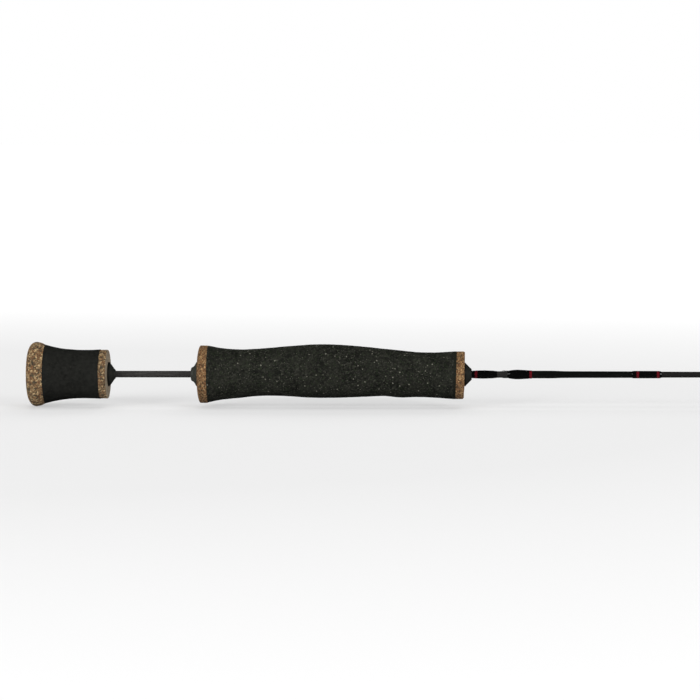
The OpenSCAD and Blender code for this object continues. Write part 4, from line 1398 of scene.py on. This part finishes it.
def build_guide_wraps():
    """Thread wraps, red trims and finish beads of the guides."""
    for i in range(GUIDES):
        g = Guide(i)
        start, end = g.wrap_start, g.wrap_end
        t0, t1 = start + TRIM_INSET, g.foot_back
        u0 = end - TRIM_LENGTH
        end_r = blank_r(end) + THREAD
        thread_piece(g.label + "_thread", [
            wound("a", start, t0, g.section),
            wound("b", t1, u0, g.section),
            bead("c", end - 0.05, end + 1.25, end_r - 0.03, blank_r(end + 1.25) + CLEAR, 0.06),
            bead("d", start + 0.05, start - 0.5, end_r - 0.12, blank_r(start) + CLEAR, 0.0),
        ], "black", [g.label + "_wrap"])
        thread_piece(g.label + "_red_trim", [
            wound("a", t0, t1, g.section), wound("b", u0, end, g.section),
        ], "red", [g.label + "_trim"])


# ---- Guides and tip-top ----

def insert_mesh(name, x, y, r):
    """Ring insert with a straight bore and rounded mouths, about the axis at height y."""
    half, land, bore, corner = RING_LENGTH / 2, 0.25, r - RING_WALL, 0.12
    lip = half - land
    mouth = np.radians(np.linspace(0, 90, 12))
    rear = [[x - land - lip * math.sin(q), bore + lip * (1 - math.cos(q))] for q in mouth]
    outer = [[x - half, r - corner]]
    outer += quarter(x - half + corner, r - corner, corner, corner, 180, 90, 5)[1:]
    outer += quarter(x + half - corner, r - corner, corner, corner, 90, 0, 5)
    front = [[2 * x - a, b] for a, b in rear[::-1]]
    outline = np.array(rear + outer + front, float)
    steps = np.linalg.norm(np.diff(outline, axis=0), axis=1)
    rows, _ = turned_rows(outline[np.append(True, steps > 1e-4)], 72)
    rows[..., 1] += y
    return surface(name, rows)


def band_mesh(name, x, y, r):
    """Rounded band that holds a ring insert."""
    soft = 0.11
    x0, x1, out = x - BAND_LENGTH / 2, x + BAND_LENGTH / 2, r + BAND_WALL
    outline = [[x0, r - 0.04]]
    outline += quarter(x0 + soft, out - soft, soft, soft, 180, 90, 6)
    outline += quarter(x1 - soft, out - soft, soft, soft, 90, 0, 6)
    outline += [[x1, r - 0.04]]
    rows, _ = turned_rows(np.array(outline, float), 96)
    rows[..., 1] += y
    return surface(name, rows)


def squared(share):
    """Sine or cosine of a squarish section with rounded corners."""
    return math.copysign(abs(share) ** 0.6, share)


def foot_mesh(g):
    """Ground foot of a guide: a strip on the blank with a rounded back that thins out towards the butt."""
    x0, x1 = g.foot_back + 0.02, g.wrap_end + 0.9
    half = 0.5 * g.end_r
    rows = []
    for x in np.linspace(x0, x1, 46):
        point = fade(x, x0, x0 + 1.6)
        width = half * (0.35 + 0.65 * point)
        top = g.foot_top(x) - 0.02
        low = blank_r(x) * 0.72
        section = []
        for q in np.linspace(0, 2 * math.pi, 20, endpoint=False):
            y = (top + low) / 2 + (top - low) / 2 * squared(math.cos(q))
            section.append([x, y, width * squared(math.sin(q))])
        rows.append(section)
    return surface("foot", np.array(rows)[:, ::-1], joined=False)


def flat_bar(name, path, width, thick):
    """Rounded flat bar along a path, from width[0] to width[1] wide."""
    path = np.asarray(path, float)
    rows = []
    for k, point in enumerate(path):
        share = k / (len(path) - 1)
        ahead = path[min(k + 1, len(path) - 1)] - path[max(k - 1, 0)]
        up = np.array([-ahead[1], ahead[0], 0.0]) / max(np.hypot(ahead[0], ahead[1]), 1e-9)
        half_w = (width[0] + (width[1] - width[0]) * share) / 2
        section = []
        for q in np.linspace(0, 2 * math.pi, 16, endpoint=False):
            across, height = half_w * squared(math.sin(q)), thick / 2 * squared(math.cos(q))
            section.append(point + up * height + np.array([0, 0, across]))
        rows.append(section)
    return surface(name, np.array(rows)[:, ::-1], joined=False)


def steel_piece(name, shells, grain, node, body=ROD):
    """Steel piece made of one skin round several shells. Grain is the finest detail kept."""
    place(name, welded(name, shells, grain), finish_of("steel"), [node], 80, body)


def insert_piece(name, x, y, r, node):
    """Polished ring insert."""
    place(name, insert_mesh(name, x, y, r), finish_of("ceramic"), [node], 50)


# Half angle between a guide's legs, and where its stem forks: share of its reach and of its height
LEG_SPREAD, FORK_SHARE, FORK_RISE = math.radians(38), 0.74, 0.8


def build_guide_frames():
    """Single-foot frames, each with a stem that forks into two legs, a round band and a ring insert."""
    for i in range(GUIDES):
        g = Guide(i)
        mid = g.ring_r + BAND_WALL / 2
        low = g.end_r + BAND_WALL / 2
        legs_y = g.ring_y - mid * math.cos(LEG_SPREAD)
        foot_x = g.wrap_end + 0.55
        fork = [foot_x + (g.x - foot_x) * FORK_SHARE, low + (legs_y - low) * FORK_SHARE * FORK_RISE, 0]
        stem = bend([
            [g.wrap_end - 1.0, low + 0.02, 0],
            [g.wrap_end + 0.9, low + 0.06, 0],
            [foot_x + (fork[0] - foot_x) * 0.5, low + (fork[1] - low) * 0.47, 0],
            fork,
        ], 40)
        shells = [foot_mesh(g), band_mesh("band", g.x, g.ring_y, g.ring_r),
                  flat_bar("stem", stem, (0.95, 0.80), 0.5)]
        for side in (-1, 1):
            end = [g.x, legs_y, side * mid * math.sin(LEG_SPREAD)]
            back = [fork[0] - 0.06 * (fork[0] - foot_x), fork[1] - 0.06 * (fork[1] - low), side * 0.12]
            part = [fork[k] + (end[k] - fork[k]) * 0.45 for k in range(3)]
            part[2] *= 1.18
            shells.append(wire("leg", bend([back, part, end], 26), 0.27))
        steel_piece(g.label + "_frame_wire", shells, 0.075, g.label + "_frame")
        insert_piece(g.label + "_insert", g.x, g.ring_y, g.ring_r, g.label + "_ring")


def build_tip_top():
    """Tip-top: tube, ring band, two side struts and a middle brace, its insert, wrap and trim."""
    x, y, r = ring_place("tip_ring")
    tube_start = start_of("tip_frame")
    blank_end = end_of("blank")
    tube_r = blank_r(tube_start) + TUBE_WALL
    bore = blank_r(tube_start) + 0.005
    tube_end = blank_end + 0.4
    outline = [[tube_start, bore], [tube_start, tube_r - 0.08], [tube_start + 0.08, tube_r]]
    outline += [[tube_end - 0.15, tube_r], [tube_end, tube_r - 0.15], [tube_end, bore * 0.2],
                [blank_end + 0.05, bore * 0.2], [blank_end + 0.05, bore]]
    rows, _ = turned_rows(finer(outline, 0.3), 40)
    shells = [surface("tube", rows), band_mesh("band", x, y, r)]
    mid = r + BAND_WALL / 2
    for side in (-1, 1):
        shells.append(wire("strut", bend([
            [blank_end - 2.2, 0.2, side * (tube_r - 0.15)],
            [blank_end - 0.9, 0.75, side * (tube_r + 0.3)],
            [x - 0.9, y * 0.72, side * (mid - 0.05)],
            [x, y, side * mid],
        ], 30), 0.3))
    shells.append(wire("brace", bend([
        [blank_end - 1.2, 0.2, 0], [blank_end - 0.2, 0.25, 0], [x, y - mid, 0],
    ], 16), 0.34))
    steel_piece("tip_top_frame", shells, 0.07, "tip_frame")
    insert_piece("tip_top_insert", x, y, r, "tip_ring")

    w0, w1 = start_of("tip_wrap"), end_of("tip_wrap")
    t0, t1 = start_of("tip_trim"), end_of("tip_trim")
    over = blank_r(w0) + TUBE_WALL + FOOT_COVER

    def section(v, around):
        """Thread that climbs from the blank onto the tube."""
        climb = fade(v, w0 - 0.2, w0 + 1.5)
        return np.full(len(around), blank_r(v) + 0.2 + (over - blank_r(v) - 0.2) * climb)

    thread_piece("tip_thread", [
        wound("a", w0, w1, section),
        bead("b", w0 + 0.05, w0 - 0.4, blank_r(w0) + 0.18, blank_r(w0) + CLEAR, 0.0),
    ], "black", ["tip_wrap"])
    thread_piece("tip_red_trim", [wound("a", t0, t1, section)], "red", ["tip_trim"])


# ---- Hook keeper ----

def build_keeper():
    """Saddle with two ears, its pin, and the folding wire loop that rides on the keeper body."""
    pin_low, pin_high = reach("keeper_pin")
    pin_x, pin_y = middle_of("keeper_pin")
    ear_r, ear_in, ear_out = 0.72, 1.3, 1.7
    foot = [[0, 0.42], [3.6, 0.42], [6.4, 0.34], [10.6, 0.08]]
    start = pin_x - 1.6
    rows = []
    for s in np.linspace(0, foot[-1][0] - 0.1, 50):
        x = start + s
        top = blank_r(x) + np.interp(s, *zip(*foot)) - 0.01
        low = blank_r(x) - 0.02
        span = math.radians(70) * (0.6 + 0.4 * fade(s, 0, 1.0))
        around = np.linspace(-span, span, 22)
        outside = [[x, top * math.cos(q), top * math.sin(q)] for q in around]
        inside = [[x, low * math.cos(q), low * math.sin(q)] for q in around[::-1]]
        rows.append(outside + inside)
    shells = [surface("saddle", np.array(rows)[:, ::-1], joined=False)]
    for side in (-1, 1):
        z0, z1 = side * ear_in, side * ear_out
        around = np.linspace(0, math.pi, 24)
        rim = [[pin_x + ear_r * math.cos(q), pin_y + ear_r * math.sin(q)] for q in around]
        rim += [[pin_x - ear_r * 1.25, 1.0], [pin_x + ear_r * 1.25, 1.0]]
        soft = 0.07 * side
        layers = [(z0, 0.93), (z0 + soft, 1.0), (z1 - soft, 1.0), (z1, 0.93)]
        middle = np.mean(rim, axis=0)
        rows = np.array([
            [[middle[0] + (a - middle[0]) * share, middle[1] + (b - middle[1]) * share, z] for a, b in rim]
            for z, share in layers
        ])
        shells.append(surface("ear", rows if side > 0 else rows[:, ::-1], joined=False))
    steel_piece("keeper_saddle", shells, 0.06, "keeper_base")

    pin_r = (pin_high.x - pin_low.x) / 2
    head = pin_high.z
    outline = [[-head, 0.01], [-head, pin_r * 0.6], [-head + 0.05, pin_r], [head - 0.05, pin_r],
               [head, pin_r * 0.6], [head, 0.01]]
    mesh = surface("keeper_axle", turned_across(finer(outline, 0.1), 32, pin_x, pin_y))
    place("keeper_axle", mesh, finish_of("steel"), ["keeper_pin"])

    wire_r, leg, eye_r = 0.26, 1.0, 0.60
    back = start_of("keeper_loop") + wire_r
    turn = np.linspace(-math.pi / 2, math.pi / 2, 28)
    path = [[pin_x - 0.4, pin_y, -leg]]
    path += [[back + leg - leg * math.cos(q), pin_y, leg * math.sin(q)] for q in turn]
    path += [[pin_x - 0.4, pin_y, leg]]
    shells = [wire("loop", np.array(path), wire_r - 0.01, 20)]
    hole = pin_r + 0.04
    for side in (-1, 1):
        z = side * leg
        ring = np.array([[z - 0.25, hole], [z - 0.25, eye_r - 0.06], [z - 0.19, eye_r],
                         [z + 0.19, eye_r], [z + 0.25, eye_r - 0.06], [z + 0.25, hole]])
        shells.append(surface("eye", turned_across(finer(ring, 0.08), 40, pin_x, pin_y)))
    steel_piece("keeper_wire_loop", shells, 0.055, "keeper_loop", KEEPER)


def finish_arbors():
    """Filler tubes under the grips, kept from the packed model with their own finish."""
    for node in ("knob_arbor", "grip_arbor"):
        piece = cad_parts[node]
        piece.data.materials.clear()
        piece.data.materials.append(finish_of("arbor"))


# ---- Stage ----

# What the floor and the surround give back, as with dark flags beside a white table
FLOOR_BOUNCE = (0.85, 0.85, 0.85, 1)
FLOOR_IN_GLOSS = (0.03, 0.03, 0.03, 1)
SKY_IN_GLOSS = 0.02
# The floor's own light from near the rod to far from it, so that it ends without a horizon
FLOOR_GLOW = {"from_min": 0.35, "from_max": 2.2, "to_min": 0.42, "to_max": 1.0}


def ray_kinds(tree):
    """1 for rays from the camera, from a diffuse and from a glossy surface."""
    node = tree.nodes.new("ShaderNodeLightPath")
    return [node.outputs[k] for k in ("Is Camera Ray", "Is Diffuse Ray", "Is Glossy Ray")]


def build_stage():
    """Floor, even light, soft lights and the camera."""
    s = bpy.context.scene.rod_stage
    scene = bpy.context.scene
    scene.view_settings.view_transform = "Standard"
    level = cad_box[0].z
    rings = np.concatenate([[0.02], np.geomspace(0.2, s.floor_radius, 24)])
    sides = 96
    around = np.linspace(0, 2 * math.pi, sides, endpoint=False)
    points = [[r * math.cos(q), r * math.sin(q), level] for r in rings for q in around]
    faces = [[a + k, a + sides + k, a + sides + (k + 1) % sides, a + (k + 1) % sides]
             for a in range(0, sides * (len(rings) - 1), sides) for k in range(sides)]
    faces.append(list(range(sides)))
    mesh = bpy.data.meshes.new("studio_floor")
    mesh.from_pydata(points, [], faces)
    f = Finish("floor_paper", roughness=0.9, specular_ior_level=0.0, emission_strength=1.0)
    seen, _, mirrored = ray_kinds(f.tree)
    cloud = noise_at(f.tree, f.where, 3.0, 3.0).outputs["Fac"]
    pale = blended(f.tree, cloud, toned(s.floor, 0.985), s.floor)
    shade = blended(f.tree, seen, FLOOR_BOUNCE, pale)
    f.feed("Base Color", blended(f.tree, mirrored, shade, FLOOR_IN_GLOSS))
    far = vector_maths(f.tree, "LENGTH", f.where).outputs["Value"]
    glow = f.tree.nodes.new("ShaderNodeMapRange")
    set_inputs(glow, FLOOR_GLOW)
    f.tree.links.new(far, glow.inputs["Value"])
    f.feed("Emission Color", maths(f.tree, "MULTIPLY", glow.outputs["Result"], seen))
    mesh.materials.append(f.material)
    floor = bpy.data.objects.new("studio_floor", mesh)
    scene.collection.objects.link(floor)

    world = bpy.data.worlds.new("even_light")
    scene.world = world
    world.use_nodes = True
    tree = world.node_tree
    background = tree.nodes["Background"]
    background.inputs["Color"].default_value = (1, 1, 1, 1)
    seen, soft, mirrored = ray_kinds(tree)
    strength = maths(tree, "MULTIPLY_ADD", soft, s.sky, seen)
    strength = maths(tree, "MULTIPLY_ADD", mirrored, SKY_IN_GLOSS, strength)
    tree.links.new(strength, background.inputs["Strength"])

    # Name, place, aim, size, power, and whether it shows in gloss
    lights = (
        ("left_softbox", (-1.25, -1.4, 0.5), (0.12, 0, 0), (0.9, 0.9), s.key, False),
        ("right_softbox", (1.75, -1.3, 0.5), (0.2, 0, 0), (0.9, 0.9), s.key, False),
        ("left_glint", (-1.25, -1.35, 0.75), (0.12, 0, 0), (0.9, 0.9), 0.5 * s.key, True),
        ("right_glint", (1.75, -1.25, 0.75), (0.3, 0, 0), (0.6, 0.6), 0.4 * s.key, True),
        ("top_light", (0.15, 0.1, 1.6), (0.15, 0, 0), (1.8, 1.2), s.top, False),
        ("back_light", (0.3, 1.6, 0.9), (0.3, 0, 0), (1.6, 0.8), s.key * 0.85, False),
    )
    for name, at, towards, size, power, in_gloss in lights:
        lamp = bpy.data.lights.new(name, "AREA")
        lamp.shape = "RECTANGLE"
        lamp.size, lamp.size_y = size
        lamp.energy = power
        holder = bpy.data.objects.new(name, lamp)
        holder.location = at
        holder.rotation_euler = (Vector(towards) - Vector(at)).to_track_quat("-Z", "Y").to_euler()
        holder.visible_glossy = in_gloss
        holder.visible_camera = False
        scene.collection.objects.link(holder)

    camera = bpy.data.cameras.new("camera")
    camera.sensor_width = 36
    foot = Vector((s.foot, -s.distance * math.cos(s.elevation), s.distance * math.sin(s.elevation)))
    aim = Vector((s.aim, 0, s.aim_height))
    camera.lens = camera.sensor_width * (aim - foot).length / s.view_width
    camera.clip_start, camera.clip_end = 0.05, 60
    eye = bpy.data.objects.new("camera", camera)
    eye.location = foot
    look = (aim - foot).to_track_quat("-Z", "Y").to_matrix() @ Matrix.Rotation(s.roll, 3, "Z")
    eye.rotation_euler = look.to_euler()
    scene.collection.objects.link(eye)
    scene.camera = eye


# ---- Operators and panel ----

class ICEROD_OT_stage(bpy.types.Operator):
    """Make the floor, the lights and the camera"""
    bl_idname = "icerod.stage"
    bl_label = "Stage"
    bl_options = {"REGISTER", "UNDO"}

    def execute(self, context):
        build_stage()
        return {"FINISHED"}


class ICEROD_OT_butt_cap(bpy.types.Operator):
    """Make the domed end cork of the knob"""
    bl_idname = "icerod.butt_cap"
    bl_label = "Butt Cap"
    bl_options = {"REGISTER", "UNDO"}

    def execute(self, context):
        build_butt_cap()
        return {"FINISHED"}


class ICEROD_OT_knob(bpy.types.Operator):
    """Make the knob's foam body, front cork ring and winding check"""
    bl_idname = "icerod.knob"
    bl_label = "Knob"
    bl_options = {"REGISTER", "UNDO"}

    def execute(self, context):
        build_knob()
        return {"FINISHED"}


class ICEROD_OT_grip_body(bpy.types.Operator):
    """Make the shaped body of the foregrip"""
    bl_idname = "icerod.grip_body"
    bl_label = "Foregrip Body"
    bl_options = {"REGISTER", "UNDO"}

    def execute(self, context):
        build_grip_body()
        return {"FINISHED"}


class ICEROD_OT_grip_ends(bpy.types.Operator):
    """Make the cork rings, the shim and the winding checks of the foregrip"""
    bl_idname = "icerod.grip_ends"
    bl_label = "Foregrip Ends"
    bl_options = {"REGISTER", "UNDO"}

    def execute(self, context):
        build_grip_ends()
        return {"FINISHED"}


class ICEROD_OT_blank(bpy.types.Operator):
    """Make the carbon blank and its coated section"""
    bl_idname = "icerod.blank"
    bl_label = "Blank"
    bl_options = {"REGISTER", "UNDO"}

    def execute(self, context):
        build_blank()
        return {"FINISHED"}


class ICEROD_OT_keeper_wraps(bpy.types.Operator):
    """Make the thread wraps and trims beside the hook keeper"""
    bl_idname = "icerod.keeper_wraps"
    bl_label = "Keeper Wraps"
    bl_options = {"REGISTER", "UNDO"}

    def execute(self, context):
        build_keeper_wraps()
        return {"FINISHED"}


class ICEROD_OT_keeper(bpy.types.Operator):
    """Make the folding hook keeper"""
    bl_idname = "icerod.keeper"
    bl_label = "Hook Keeper"
    bl_options = {"REGISTER", "UNDO"}

    def execute(self, context):
        build_keeper()
        return {"FINISHED"}


class ICEROD_OT_guide_wraps(bpy.types.Operator):
    """Make the thread wraps and trims of the guides"""
    bl_idname = "icerod.guide_wraps"
    bl_label = "Guide Wraps"
    bl_options = {"REGISTER", "UNDO"}

    def execute(self, context):
        build_guide_wraps()
        return {"FINISHED"}


class ICEROD_OT_guide_frames(bpy.types.Operator):
    """Make the guide frames and their ring inserts"""
    bl_idname = "icerod.guide_frames"
    bl_label = "Guide Frames"
    bl_options = {"REGISTER", "UNDO"}

    def execute(self, context):
        build_guide_frames()
        return {"FINISHED"}


class ICEROD_OT_tip_top(bpy.types.Operator):
    """Make the tip-top with its insert, wrap and trim"""
    bl_idname = "icerod.tip_top"
    bl_label = "Tip-Top"
    bl_options = {"REGISTER", "UNDO"}

    def execute(self, context):
        build_tip_top()
        return {"FINISHED"}


class ICEROD_OT_arbors(bpy.types.Operator):
    """Give the filler tubes under the grips their finish"""
    bl_idname = "icerod.arbors"
    bl_label = "Arbors"
    bl_options = {"REGISTER", "UNDO"}

    def execute(self, context):
        finish_arbors()
        return {"FINISHED"}


STEPS = (
    ICEROD_OT_stage, ICEROD_OT_butt_cap, ICEROD_OT_knob, ICEROD_OT_grip_body, ICEROD_OT_grip_ends,
    ICEROD_OT_blank, ICEROD_OT_keeper_wraps, ICEROD_OT_keeper, ICEROD_OT_guide_wraps,
    ICEROD_OT_guide_frames, ICEROD_OT_tip_top, ICEROD_OT_arbors,
)


class ICEROD_PT_panel(bpy.types.Panel):
    """Sizes, colours and steps of the rod"""
    bl_idname = "ICEROD_PT_panel"
    bl_label = "Ice Fishing Rod"
    bl_space_type = "VIEW_3D"
    bl_region_type = "UI"
    bl_category = "Ice Rod"

    def draw(self, context):
        for name, settings in SETTINGS.items():
            box = self.layout.box()
            box.label(text=settings.__doc__)
            for field in settings.__annotations__:
                box.prop(getattr(context.scene, name), field)
        column = self.layout.column(align=True)
        for operator in STEPS:
            column.operator(operator.bl_idname)


def register():
    """Registers the settings, the operators and the panel."""
    for settings in SETTINGS.values():
        bpy.utils.register_class(settings)
    for name, settings in SETTINGS.items():
        setattr(bpy.types.Scene, name, PointerProperty(type=settings))
    for cls in (*STEPS, ICEROD_PT_panel):
        bpy.utils.register_class(cls)


def unregister():
    """Removes what register() added."""
    for cls in (ICEROD_PT_panel, *reversed(STEPS)):
        bpy.utils.unregister_class(cls)
    for name in SETTINGS:
        delattr(bpy.types.Scene, name)
    for settings in reversed(list(SETTINGS.values())):
        bpy.utils.unregister_class(settings)


def main():
    """Registers the settings, operators and panel, and builds every step."""
    register()
    for operator in STEPS:
        space, name = operator.bl_idname.split(".")
        getattr(getattr(bpy.ops, space), name)()


if __name__ == "__main__":
    main()
